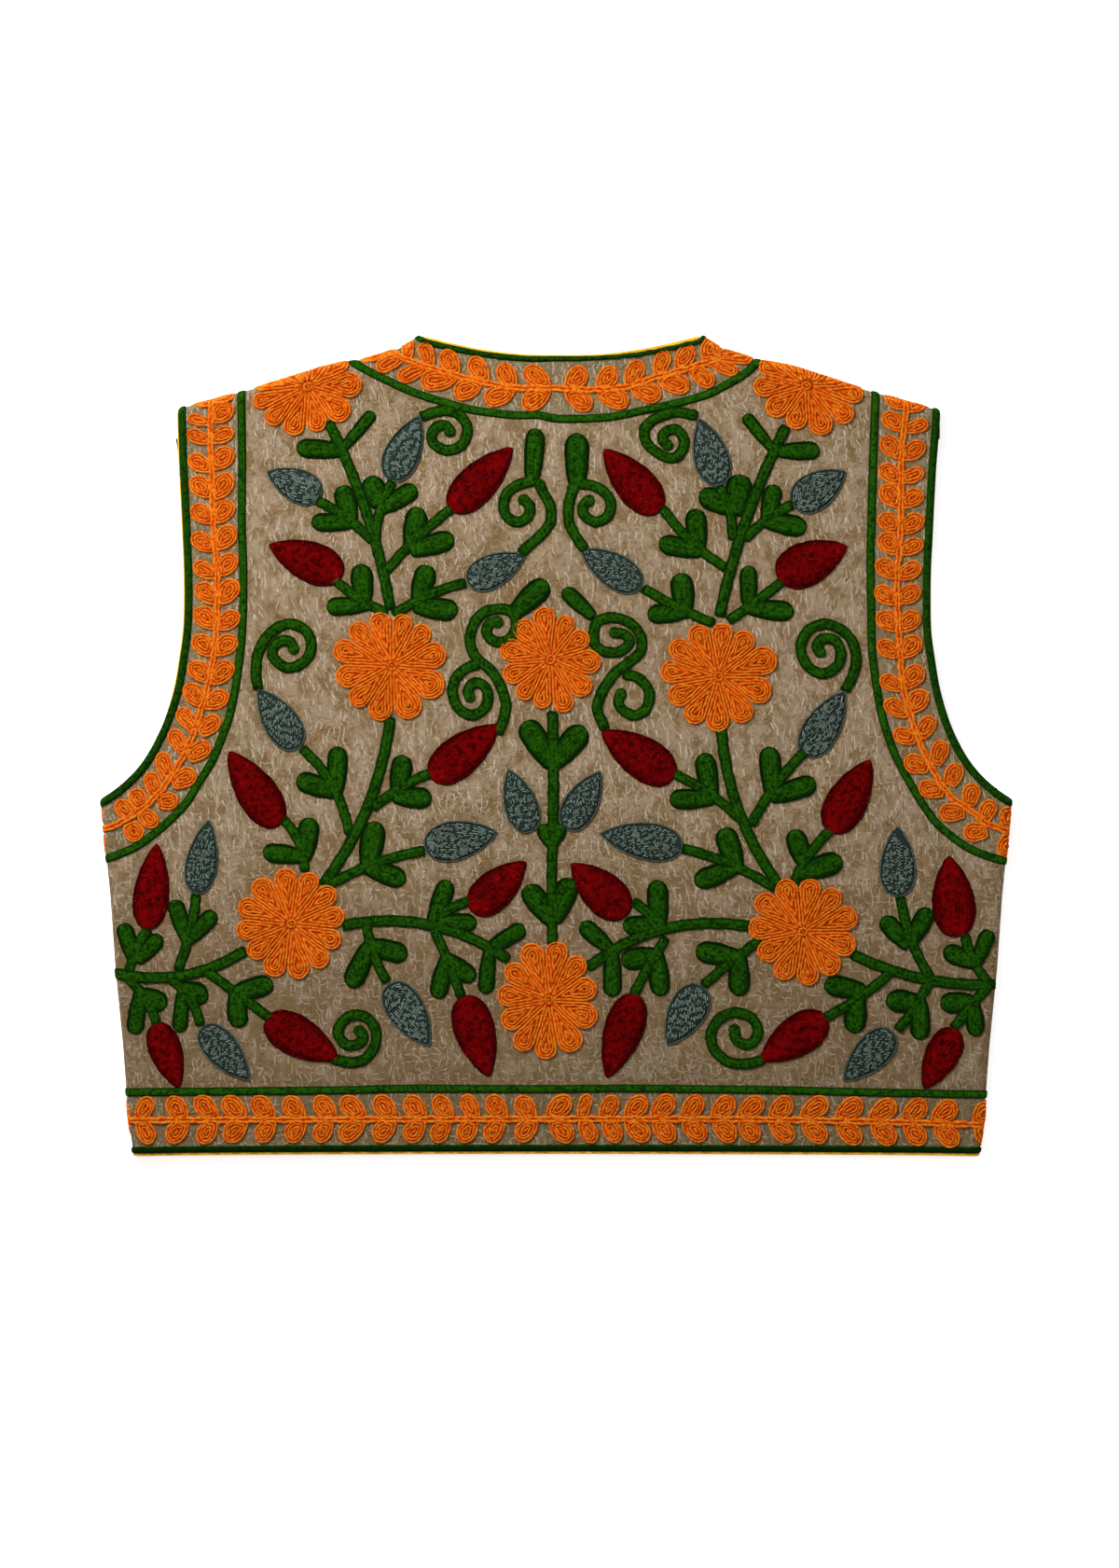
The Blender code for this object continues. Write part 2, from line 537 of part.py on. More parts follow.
# ---- meshes ---------------------------------------------------------------------------------------
class Drawing:
    """Points and lines of a flat cut, to be triangulated with nothing crossing."""

    def __init__(self):
        self.points = []
        self.edges = []

    def add(self, points, closed=False):
        first = len(self.points)
        self.points += [Vector((p.x, p.y)) for p in points]
        last = len(self.points)
        self.edges += [(k, k + 1) for k in range(first, last - 1)]
        if closed:
            self.edges.append((last - 1, first))

    def triangles(self):
        found = geometry.delaunay_2d_cdt(self.points, self.edges, [], 1, 0.02)
        return found[0], [tuple(face) for face in found[2]]


def boundary(faces):
    """The vertices round the outside of a triangulation, in order."""
    onward = {}
    inner = {(b, a) for face in faces for a, b in zip(face, face[1:] + face[:1])}
    for face in faces:
        for a, b in zip(face, face[1:] + face[:1]):
            if (a, b) not in inner:
                onward[a] = b
    start = next(iter(onward))
    loop = [start]
    while onward[loop[-1]] != start:
        loop.append(onward[loop[-1]])
    return loop


def inside(point, outline):
    """Whether a point lies inside a closed polygon."""
    crossings = 0
    for a, b in zip(outline, outline[1:] + outline[:1]):
        if (a.y > point.y) != (b.y > point.y):
            if point.x < a.x + (b.x - a.x) * (point.y - a.y) / (b.y - a.y):
                crossings += 1
    return crossings % 2 == 1


def within(faces, points, outline):
    """The triangles whose middle lies inside the outline, all facing the same way."""
    kept = []
    for face in faces:
        a, b, c = (points[k] for k in face)
        if inside((a + b + c) / 3, outline):
            kept.append(face if (b - a).cross(c - a) > 0 else face[::-1])
    return kept


def wall(name, outline, extra, place, raise_by=None):
    """A closed cloth panel: an outer skin, a plain inner skin and the edge between them."""
    outer = Drawing()
    outer.add(outline, closed=True)
    extra(outer)
    points, faces = outer.triangles()
    faces = within(faces, points, outline)
    rim = boundary(faces)

    inner = Drawing()
    inner.add([points[k] for k in rim], closed=True)
    for line in station_lines() if raise_by else ():
        inner.add(line)
    in_points, in_faces = inner.triangles()
    in_faces = within(in_faces, in_points, outline)
    in_rim = boundary(in_faces)

    mesh = bmesh.new()
    half = CLOTH / 2
    top = {}
    for k in {k for face in faces for k in face}:
        p = points[k]
        h = half + (0.0 if k in set(rim) or not raise_by else raise_by(p.x, p.y))
        top[k] = mesh.verts.new(place(p.x, p.y, h) * MM)
    low = {k: mesh.verts.new(place(in_points[k].x, in_points[k].y, -half) * MM)
           for k in {k for face in in_faces for k in face}}
    for face in faces:
        mesh.faces.new([top[k] for k in face])
    for face in in_faces:
        mesh.faces.new([low[k] for k in reversed(face)])
    twin = {}
    for k in rim:
        twin[k] = min(in_rim, key=lambda j: (in_points[j] - points[k]).length)
    if len(set(twin.values())) != len(in_rim):
        raise ValueError(name + ": the two skins have different edges")
    for a, b in zip(rim, rim[1:] + rim[:1]):
        mesh.faces.new((top[b], top[a], low[twin[a]], low[twin[b]]))
    return finish(name, mesh)


def finish(name, mesh):
    bmesh.ops.triangulate(mesh, faces=mesh.faces)
    bmesh.ops.recalc_face_normals(mesh, faces=mesh.faces)
    if mesh.calc_volume(signed=True) < 0:
        bmesh.ops.reverse_faces(mesh, faces=mesh.faces)
    data = bpy.data.meshes.new(name)
    mesh.to_mesh(data)
    mesh.free()
    part = bpy.data.objects.new(name, data)
    bpy.context.scene.collection.objects.link(part)
    return part


def strip(name, curve, section, place):
    """A closed strip along a curve.  The section lists (distance in from the edge, height)."""
    mesh = bmesh.new()
    rings = []
    sides = [Vector((d.y, -d.x)) for d in directions(curve)]
    for p, side in zip(curve, sides):
        ring = []
        for distance, h in section:
            q = p + side * distance
            ring.append(mesh.verts.new(place(q.x, q.y, h) * MM))
        rings.append(ring)
    for a, b in zip(rings, rings[1:]):
        for k in range(len(section)):
            j = (k + 1) % len(section)
            mesh.faces.new((a[k], a[j], b[j], b[k]))
    mesh.faces.new(rings[0])
    mesh.faces.new(rings[-1])
    return finish(name, mesh)


# ---- pieces ------------------------------------------------------------------------------------------
def back_panel():
    motifs = embroidery()
    outline = back_outline()

    def draw(drawing):
        for line in station_lines():
            drawing.add(line)
        for motif in motifs:
            for loop in motif.loops:
                drawing.add(loop, closed=True)
            for line in motif.lines:
                drawing.add(line)

    return wall("back", outline, draw, fold_over, lambda x, y: relief_at(x, y, motifs))


def under_seam_reach(x, y):
    """How far a point of a front lies short of its side or shoulder seam, in plan."""
    side = side_bend(y) - SIDE_WRAP - SEAM_GAP - abs(x)
    shoulder = shoulder_bend(x) - SHOULDER_WRAP - SEAM_GAP - y
    return min(side, shoulder)


def lengthened(points, by=6.0):
    """A polyline with straight runs added at both ends, for cutting back at a seam."""
    first = points[0] + (points[0] - points[1]).normalized() * by
    last = points[-1] + (points[-1] - points[-2]).normalized() * by
    return [first] + points + [last]


def fronts():
    """The two fronts with their bindings.  Seen from above, each panel lies to the left of
    the right neckline's way and to the right of the right armhole's, and the other way round
    on the left front."""
    parts = []
    top, low = CLOTH / 2, -CLOTH / 2
    for hand, label in ((1, "right"), (-1, "left")):
        neckline = lengthened(smooth([(hand * x, y) for x, y in FRONT_NECKLINE], FRONT_STEP))
        armhole = lengthened(smooth([(hand * x, y) for x, y in FRONT_ARMHOLE], FRONT_STEP))
        width = hand * BINDING_WIDTH
        inset = hand * (BINDING_WIDTH + SEAM_GAP)
        front_edge = trimmed(shifted(neckline, -inset), under_seam_reach)
        sleeve_edge = trimmed(shifted(armhole, inset), under_seam_reach)
        outline = front_edge + sleeve_edge[::-1]
        parts.append(wall("front_" + label, outline[::hand], lambda drawing: None, lie_under))
        for name, curve, inwards in (("binding_front_", neckline, -width),
                                     ("binding_under_armhole_", armhole, width)):
            section = ((0, low), (0, top), (inwards, top), (inwards, low))
            curve = trimmed(curve, under_seam_reach, inwards)
            parts.append(strip(name + label, curve, section, lie_under))
    return parts


def edge_sections(lining):
    """Cross-sections of the lining edge and of the binding that lies inside it."""
    low = -CLOTH / 2
    start = lining + SEAM_GAP
    end = start + BINDING_WIDTH
    brow = 0.8 * CLOTH / 2
    yellow = ((0, low), (0, LINING_RISE), (lining, LINING_RISE), (lining, low))
    green = ((start, low), (start, brow), ((start + end) / 2, BINDING_RISE), (end, brow), (end, low))
    return yellow, green


def edges():
    """The bound edges of the back, each with the lining that shows outside it."""
    parts = []
    outermost = (0.0, 0.0, 0.0)
    right = edge_curves(1, outermost)
    left = edge_curves(-1, outermost)
    runs = (
        ("neck", left[0][:-1] + right[0], NECK_LINING),
        ("armhole_right", right[1], ARMHOLE_LINING),
        ("armhole_left", left[1], ARMHOLE_LINING),
        ("hem", right[2][:-1] + left[2], HEM_LINING),
    )
    for label, curve, lining in runs:
        curve = trimmed(curve, seam_reach, lining + SEAM_GAP + BINDING_WIDTH)
        yellow, green = edge_sections(lining)
        parts.append(strip("lining_edge_" + label, curve, yellow, fold_over))
        parts.append(strip("binding_" + label, curve, green, fold_over))
    return parts


# ---- materials -------------------------------------------------------------------------------------------
def material(name, colour, roughness):
    made = bpy.data.materials.new(name)
    made.use_nodes = True
    shader = made.node_tree.nodes["Principled BSDF"]
    shader.inputs["Base Color"].default_value = (*colour, 1.0)
    shader.inputs["Roughness"].default_value = roughness
    shader.inputs["Metallic"].default_value = 0.0
    made.diffuse_color = (*colour, 1.0)
    return made


def dress(parts):
    ground = material("slubbed_cloth", (0.35, 0.23, 0.13), 0.9)
    green = material("green_thread", (0.013, 0.10, 0.002), 0.85)
    yellow = material("yellow_lining", (0.95, 0.50, 0.02), 0.8)
    for part in parts:
        if part.name.startswith("binding"):
            part.data.materials.append(green)
        elif part.name.startswith("lining_edge"):
            part.data.materials.append(yellow)
        else:
            part.data.materials.append(ground)


def main():
    for old in list(bpy.data.objects):
        bpy.data.objects.remove(old)
    dress([back_panel()] + fronts() + edges())


main()
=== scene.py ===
"""Looks of the embroidered waistcoat, a cropped bolero that lies flat with its back upwards.

Every piece is drawn in the cut's own plane, in millimetres, with x across the back and y up
towards the neck, and on_back() or on_front() then carries its points onto the cloth.  The
embroidery is chain stitch: each row is a narrow ribbon with a dip in the middle of each link.
"""
import math

import bpy
import numpy as np
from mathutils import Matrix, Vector, geometry
from mathutils.kdtree import KDTree


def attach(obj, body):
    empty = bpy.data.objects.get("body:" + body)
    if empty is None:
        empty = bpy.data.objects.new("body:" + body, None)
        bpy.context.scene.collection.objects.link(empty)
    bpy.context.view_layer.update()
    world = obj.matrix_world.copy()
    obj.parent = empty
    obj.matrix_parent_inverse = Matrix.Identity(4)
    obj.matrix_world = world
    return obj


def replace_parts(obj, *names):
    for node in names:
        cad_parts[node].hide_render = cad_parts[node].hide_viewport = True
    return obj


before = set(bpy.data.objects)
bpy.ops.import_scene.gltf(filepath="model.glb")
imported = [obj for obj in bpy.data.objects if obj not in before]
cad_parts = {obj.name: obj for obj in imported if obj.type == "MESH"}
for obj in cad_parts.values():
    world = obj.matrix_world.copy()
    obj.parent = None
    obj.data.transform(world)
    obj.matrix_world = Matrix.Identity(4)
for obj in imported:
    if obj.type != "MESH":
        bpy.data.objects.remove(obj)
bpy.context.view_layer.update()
MM = 0.001
random = np.random.default_rng(20)


# ---- cloth and folds, in millimetres, as in the part's source ----
CLOTH = 2.0            # thickness
LAYER_GAP = 0.4        # between the fronts and the back on top of them
FOLD_RADIUS = 2.3      # to the middle of the cloth
LIFT_REACH = 18.0      # over which the back rises to a fold
SIDE_WRAP = 15.0       # from the end of the roll to the seam, at the sides and the shoulders
SHOULDER_WRAP = 12.0
BINDING_WIDTH = 4.2
SEAM_GAP = 0.3
NECK_LINING = 1.4      # width of the lining's edge there
HEM_LINING = 1.2
ARMHOLE_LINING = 0.8
ARMHOLE_BINDING = 4.4  # width of the binding that shows along the armholes and the hem
HEM_BINDING = 4.0
LINING_HIGH = 0.6      # of the lining's edge off the middle of the cloth, and of the hem's
HEM_LINING_HIGH = 1.5
UNDER_BINDING = 1.2    # the cloth's edge lies this far in under the binding
UNDER_SKIN = 0.6       # the cloth's outer skin off the floor, where threads lie under it
THREAD_SQUASH = 0.22   # height that a thread keeps on the underside, pressed by the floor
EDGE_SQUASH = 0.6      # share of its height that a binding loses there
OUTER = FOLD_RADIUS + CLOTH / 2
HALF_TURN = math.pi * FOLD_RADIUS

NECK_SHIFT = 2.5       # the neck lies this far to the right of the middle
NECK = (               # from the middle of the neck outwards: distance from the middle, y
    (0, 210), (16, 210.1), (26, 210.8), (35, 211.8), (45, 213.3), (55, 215.3),
    (65, 217.6), (73, 219.9), (77.5, 224), (79, 231), (79.2, 243),
)
SHOULDER_NECK = (77.25, 219.5)   # where the shoulder fold meets the neck, and the armhole
SHOULDER_TIP = (204.75, 181.5)
SHOULDER_DIP = (       # from the neck along the shoulder, and how far the fold sags there
    (0, 0), (4, 1.5), (10, 3.1), (30, 3.3), (40, 1.8), (52, 0.9), (86, 1.9), (125, 1.0),
)
ARMHOLE = (            # from the shoulder seam down to the side seam: half width, y
    (204.8, 205), (204.8, 192), (204.6, 178), (203.6, 155), (201.7, 122), (200.3, 92),
    (200.3, 66), (202.4, 48), (205.8, 29), (212.3, 9), (221.5, -8), (232.5, -20),
    (244.5, -28.5), (256, -33), (270, -34.5),
)
ARMHOLE_LOOSE = {      # y, and how much further out the right and the left armhole's edge lies there
    1: ((-30, 0), (40, 0.5), (75, 0.9), (150, 0.4), (180, 1.1), (205, 1.1)),
    -1: ((-30, 0), (60, 0), (150, -0.7), (180, -1.4), (205, -1.4)),
}
SIDE = (               # the side fold, seen from above: y, half width
    (40, 248), (-28.5, 244.25), (-50, 242.6), (-80, 239.6), (-120, 236.8), (-160, 232.8),
    (-200, 229.8), (-219, 227), (-240, 225),
)
HEM_Y = -218.6
HEM_RISE = -1.2        # the hem is this much lower at the sides


# ---- the fronts, right half; each lies hidden under the back ----
FRONT_NECKLINE = (     # shoulder seam to centre front and down to the side seam at the hem
    (82, 203.2), (79.5, 182), (69, 157), (50, 133), (26, 116), (9, 105), (1.6, 92),
    (0.6, 74), (0.6, -40), (0.6, -150), (0.8, -196), (4.2, -211), (18, -217.5),
    (60, -218), (140, -218), (212, -217.5),
)
FRONT_ARMHOLE = (
    (204.4, 166), (202, 150), (198, 125), (195.2, 95), (194.3, 65), (196, 40), (201, 18),
    (208, 0), (217, -18), (227, -33.4),
)


# ---- embroidery ----
FLOWERS = (            # centre x, centre y, then each petal's direction in degrees and its reach
    (-133, 192.5, ((150, 30), (122, 30), (92, 30), (62, 30), (36, 26), (7, 29.3), (-39, 27.2),
                   (-77, 24.7), (-112, 27.7), (-140, 29.4), (-165, 31), (-182, 30))),
    (134, 193, ((158, 28), (128, 29), (100, 30), (70, 30), (42, 30), (15, 30), (-10, 31), (-35, 30.7),
                (-66, 28.2), (-108, 24.2), (-144, 25.5), (-184, 28.6))),
    (-88, 43, ((161, 33), (134, 31.2), (106, 30), (75, 28.8), (49, 28.8), (17, 30), (-25, 30.7),
               (-70, 30.3), (-107, 30.5), (-137, 30), (-166, 31))),
    (87, 37.5, ((147, 31.4), (115, 30.3), (86, 28.8), (54, 29.2), (22, 33), (-21, 30), (-57, 29),
                (-93, 30), (-122, 29.6), (-154, 29.4), (-187, 31.5))),
    (-142, -95, ((160, 30.3), (132, 30.3), (95, 30), (67, 29.7), (39, 30), (9, 29), (-22, 28.6),
                 (-51, 29.5), (-81, 30.2), (-111, 30.5), (-144, 28.8), (-172, 30))),
    (132, -99.5, ((144, 31), (110, 30.3), (80, 29.2), (49, 29.8), (19, 31), (-17, 29.8), (-51, 29),
                  (-82, 29.1), (-116, 28.3), (-150, 27.2), (-187, 29.4))),
    (-3, 46.5, ((166, 28), (132, 27.4), (97, 28.7), (68, 25.6), (36, 24.6), (-3, 27.2), (-43, 27.8),
                (-74, 29.6), (-102, 27), (-129, 27), (-157, 27.3))),
    (-4, -136, ((141, 29.2), (111, 32.3), (79, 32), (53, 29.3), (19, 26.8), (-24, 28.2), (-64, 30.9),
                (-95, 32), (-120, 31.5), (-152, 28.5), (-187, 28))),
)
BLUE_GREY_BUDS = (     # base x, base y, tip x, tip y, width
    (-125.5, 133.7, -155.5, 147.2, 19), (-89, 142, -73, 177.5, 20), (-48, 87.2, -16, 102.7, 19),
    (-138, -1.5, -160, 31, 20), (-13.7, -46.5, -25.7, -12, 19), (-71, -54, -31, -46, 22),
    (-193, -79.5, -186, -39, 18), (-190, -150, -164, -179.5, 19), (-89.7, -127, -67.7, -161, 21),
    (5, -45, 24, -13, 19), (68, -54, 23, -47, 21), (87.7, 139.5, 76.7, 176, 20),
    (45.8, 85, 12.5, 105.7, 19.5), (126.5, 128.7, 155.5, 147.5, 21), (133, -5.5, 155, 30, 20),
    (183, -81, 183, -42.5, 20), (78.3, -128, 59.3, -160.5, 21), (180.8, -152.6, 153.8, -179.6, 19.5),
)
RED_BUDS = (
    (-56, 127, -24, 159.5, 20), (-115, 92, -153, 107.5, 21), (-149, -42, -175, -3.5, 21),
    (-66.5, -17, -31.5, 11, 21), (-219, -97.5, -214, -53, 18), (-214.2, -149, -202.5, -182.5, 16.5),
    (-155, -146.5, -117, -167.5, 21), (-45, -88, -17, -62.5, 20), (-49.2, -134.5, -36.2, -176.5, 21),
    (37.6, -90, 8.6, -63.5, 21.6), (42.4, -133.5, 27.4, -177, 20), (55, 126, 26, 158.5, 20.8),
    (119, 91, 155, 107, 22.8), (62.5, -16.8, 25, 7.5, 22), (147, -45.5, 168, -8, 21),
    (214.5, -101.5, 210.5, -59.5, 22), (144, -145.5, 110, -168, 21), (213.6, -151.9, 197.6, -182.9, 17.3),
)
LEAVES = (             # base x, base y, tip x, tip y, width
    (-115, 158.5, -139, 160, 10), (-114, 160, -98, 179, 6.5), (-110, 121.5, -115, 139.5, 11),
    (-109, 120, -131, 120, 9.5), (-95, 129.5, -100, 144.5, 12.5), (-93, 127.5, -75, 138.5, 10),
    (-78, 106, -74, 128, 11.5), (-77, 105, -55, 111.5, 11), (-103, 78.5, -105, 97.5, 11.5),
    (-101, 76, -123, 74.5, 9.5), (-74, 77, -69, 97, 11.5), (-75, 75, -53, 72.5, 11.5),
    (-13, 141, -11, 170, 10), (-22, 72, -5, 88, 12), (-118, -24, -117, -0.5, 10.5),
    (-119, -24.5, -139, -17.5, 11), (-85, -25, -82, -5, 11), (-86, -27, -67, -28, 11),
    (-135, -60, -132, -38.5, 11), (-136, -59, -157, -56.5, 10), (-101, -65, -97, -40.5, 12.5),
    (-101, -65, -81, -72, 11), (-226, -115, -232, -95, 9), (-224, -114.5, -212, -101.5, 9),
    (-198, -104, -205, -82.5, 9), (-197, -104, -183, -89, 9), (-223, -132, -226, -154, 9),
    (-221, -133, -209, -139, 11), (-200, -129, -202, -153, 8), (-200, -130, -187, -135, 12),
    (-172, -132, -152, -127, 11), (-172, -133, -170, -150.5, 10.5),
    (-100.5, -107, -110.5, -129, 11), (-100, -106.5, -80, -112, 11), (-66, -94, -58, -72, 10),
    (-66, -94.5, -43, -94.5, 9.5), (-59, -113.5, -64, -135, 9.5), (-59, -113.5, -44, -125, 10),
    (-36, -108.5, -17, -97, 9), (-36, -109.5, -38, -132.5, 8.5),
    (-3, -9, -17, 13, 13), (-1, -9, 15, 10, 13), (-3, -93, -16, -75, 12), (-1, -93, 8, -71, 12),
    (-3, -52.5, -8, -42, 8), (-2, -52.5, 3, -42, 8),
    (116, 159, 101, 177.5, 6.5), (120, 158, 141, 158.5, 9.5), (95, 127, 77, 135.5, 12),
    (96, 125, 99, 145.5, 14), (113, 122, 117, 140, 9.8), (113, 120.5, 134, 117, 11),
    (103, 74, 103, 96.5, 9), (104, 74, 127, 72, 10.5), (76.2, 106, 74.2, 127, 11),
    (76.3, 104.5, 55.3, 109, 10.5), (69, 73.5, 66.5, 92.5, 12), (70, 72, 49, 70.5, 10),
    (11, 140, 11, 167.5, 12.4), (19, 70, 4, 84, 8.5), (83, -26, 79, -4, 11),
    (83, -28, 61, -28.5, 10.5), (116, -27, 114, -0.5, 11), (116, -27, 139, -19.5, 11),
    (96.5, -64, 89.5, -44, 12), (95.5, -65, 74.5, -73, 11), (133, -63, 127, -45, 11),
    (131, -68, 153, -61, 12), (188, -106.5, 175, -92, 10), (190, -105, 200, -87, 10),
    (223, -116, 208, -109, 10), (225, -116, 232, -98.5, 8.3), (164, -131, 144, -127.3, 11),
    (161.5, -133.5, 159.5, -153.5, 11.5), (192, -136.5, 177, -136.5, 12), (195, -137, 195, -157, 10.3),
    (222, -136.5, 206, -138, 11), (223, -137, 225, -155, 9.3), (28, -108, 13.5, -95, 9.5),
    (30, -109.5, 30, -134, 9.5), (53, -112, 35, -115, 11.5), (54, -111.5, 56, -133.5, 10.5),
    (55, -97, 54, -72, 11), (55, -95.5, 36, -96.5, 10.3), (97, -113, 75, -109.5, 11.5),
    (98, -112.5, 98, -133.5, 11),
)
STEMS = (              # start x, start y, end x, end y, bow to the left of the way from start to end
    (-122, 173.5, -89, 74, 4), (-128, 131.5, -99, 110, 2), (-88, 141.5, -97, 110, -2),
    (-56, 127.5, -91, 94, -1.5), (-119, 89.5, -91, 71.5, -1.5), (-49, 87.5, -87, 70.5, -2),
    (-89, 15, -125, -74, 6.5), (-136, -1.5, -111, -46.5, 4.5), (-68, -14.5, -98, -33, -1.5),
    (-146, -39.5, -135, -66.5, 3), (-122, -74.5, -71, -56, 2.5), (-219, -98, -229, -121, -1),
    (-193, -80, -203, -120, 1.5), (-236, -121.5, -167, -109.5, -7.5), (-230, -123.5, -214, -148.5, 2),
    (-208, -124, -191, -149, 3.5), (-188, -120, -153, -146, 0), (-114, -96, -26, -114, 9.5),
    (-102, -95, -91, -126, -1.5), (-67, -95, -47, -83, 1.5), (-66, -97, -51, -134, 0.5),
    (-2, 18, -2, -52.5, 0.5), (-2, -52.5, -2, -106, -0.5), (123, 171, 87.5, 70, -3.6),
    (126.3, 129.5, 101, 111, -1.5), (87.5, 139, 94.5, 111, 2), (57, 127.5, 91, 95.5, -2.5),
    (47, 84.5, 84, 66, -1),
    (120.5, 88, 92.5, 67.5, 0.5), (88.5, 9, 119, -74, -6.3), (62.7, -14.6, 101, -41.5, 2.3),
    (133.5, -2.5, 104.5, -42, -2), (68, -54.8, 117, -76, 2.3), (148, -44, 127.5, -73, -2),
    (103, -96.5, 17, -118.5, -9.8), (41.5, -83.5, 54.5, -97.5, 1.5), (58.5, -103, 41.3, -133.5, -0.5),
    (109, -104, 79, -128, -0.5), (159, -111.5, 234, -127.5, -5), (184.6, -81.5, 200.6, -124, -2.5),
    (219, -101.5, 231, -126, -2), (178.8, -121.6, 143.8, -145.6, 1.5), (200, -126, 183, -152, 1),
    (231, -129, 213, -151, -0.5),
)
SCROLLS = (            # middle line of each curled stroke, x and y; it ends in a round eye
    ((-72, 176.5), (-63.5, 179.5), (-54, 178.8), (-48.5, 173), (-48, 166.5), (-51.5, 160.8),
     (-59, 158.6), (-65.5, 162), (-66.8, 167.5), (-63.5, 171.5), (-59, 171.8), (-57.3, 168.8)),
    ((-11, 142.5), (-20, 140.2), (-26.5, 135.5), (-28.3, 128.5), (-25.8, 122.3), (-20.5, 120.2),
     (-15.3, 123), (-14, 128.5), (-17.5, 132)),
    ((-19, 103.5), (-5, 117), (-3, 127.5), (-9, 140)),
    ((-160, 31), (-161, 42), (-159, 52), (-153, 61), (-143.8, 65.6), (-135, 62.5), (-131.2, 54.5),
     (-134.5, 46), (-143.5, 42), (-151, 46.5), (-152, 52), (-148, 56.3), (-143, 56.3),
     (-140.8, 52.5)),
    ((-31, 7), (-27, 22), (-33, 38), (-44, 49), (-46, 60), (-40, 71), (-28, 73.5), (-22, 69),
     (-22.5, 61), (-27, 56.5), (-33.5, 56.3), (-37.3, 60.5), (-36, 65.5), (-31.5, 66.8)),
    ((-41, 44.5), (-49.5, 41), (-55, 34), (-55, 25.5), (-50.5, 18.5), (-44, 16.8), (-38, 21),
     (-36.5, 27.5), (-39.5, 33), (-44.5, 33.8), (-47.3, 30), (-46.5, 26.5)),
    ((-120, -167.5), (-108, -169.5), (-100, -165), (-96.3, -156), (-99.5, -147.3),
     (-107.5, -143.8), (-114.8, -147.8), (-117, -154), (-113, -159.5), (-107, -160),
     (-103.2, -156), (-105.5, -152.5)),
    ((75, 177), (65, 179), (54.5, 176.3), (47.5, 170.5), (48.3, 163), (54.5, 157), (62.5, 154.3),
     (67.5, 158.5), (68.3, 165), (64.5, 169.5), (59, 168.8), (56.8, 164.3), (59.5, 161.5)),
    ((10, 141), (19.5, 139.6), (26.5, 135.5), (29.3, 129), (27, 122.8), (21, 120.2),
     (15.3, 123.3), (14.2, 128.5), (17.5, 131.8)),
    ((15, 105.5), (7.5, 118), (6.5, 128.5), (9, 138)),
    ((155, 30), (160, 41), (160, 52.5), (154.5, 61), (144, 65.6), (134.5, 61.5), (131, 52.5),
     (134.8, 43), (143, 38.8), (150.5, 43), (152.6, 50), (149.5, 56.5), (143.5, 57.8),
     (139.5, 54), (141.5, 50.5)),
    ((111, -168), (101, -170.3), (91, -168.5), (84.2, -161.5), (83, -153.5), (87.5, -146),
     (95.5, -142.8), (103.5, -144.8), (108, -151), (106.5, -157.5), (101.5, -159.8),
     (96.5, -157.2), (95.3, -152)),
    ((26, 9.5), (22, 22), (30, 37.5), (44.5, 50), (45, 59.5), (39, 66.3), (30, 69), (22.5, 67),
     (20, 61), (20.8, 54.5), (26.5, 50.6), (34, 50.8), (39.3, 55.5), (37, 59.8), (31.5, 60.8)),
    ((36.5, 38.5), (43, 37), (48.5, 32), (50, 25.5), (47, 18.8), (41, 16.6), (35.3, 19.8),
     (33.3, 24.5), (34.8, 28)),
)


# ---- borders: a leafy vine between two green lines ----
# each vine's middle line, x and y, and the reach of its leaves towards the edge and inwards
HEM_VINE = ((-243, -200.4), (-120, -200.1), (0, -199.8), (100, -200), (160, -201), (190, -201.7),
            (220, -202.5), (243, -203))
NECK_VINE = (
    (-104, 217), (-95, 213.3), (-86, 209.5), (-80, 207), (-70, 203.5), (-60, 200.6), (-50, 197.8),
    (-40, 195.4), (-30, 193), (-20, 192), (0, 191.8), (20, 191.1), (38, 192.6), (50, 196.7),
    (60, 199.5), (70, 202.2), (80, 205.2), (88, 207.6),
)
ARMHOLE_VINE_RIGHT = (
    (188.2, 196), (187.3, 180), (185.6, 163), (184.9, 148), (184.8, 128), (184.1, 108), (182.8, 92),
    (183, 74), (184.3, 50), (186.3, 30), (190.3, 15), (195.8, 0), (203.3, -15), (209.8, -25),
    (215.3, -30), (222.8, -35), (230, -41), (241, -45.2), (248, -47),
)
ARMHOLE_VINE_LEFT = (
    (-184.4, 196), (-184.7, 180), (-185.2, 165), (-184.6, 145), (-183.7, 120), (-182.3, 100),
    (-181.5, 80), (-182.3, 60), (-184.3, 45), (-187.1, 30), (-190.2, 20), (-195.2, 5),
    (-200.7, -7), (-207.7, -18), (-214.7, -27), (-222.7, -34), (-231.7, -40), (-240.7, -44),
    (-249, -46),
)
HEM_REACH = (13.0, 13.6)
NECK_REACH = (12.8, 12.4)
ARMHOLE_REACH = (12.9, 12.6)
BAND_LEAF_WIDTH = 11.6     # at most, and as a share of the leaf's reach along the vine
BAND_LEAF_SHARE = 0.88
BAND_LEAF_BASE = 0.7       # width of its base, as a share
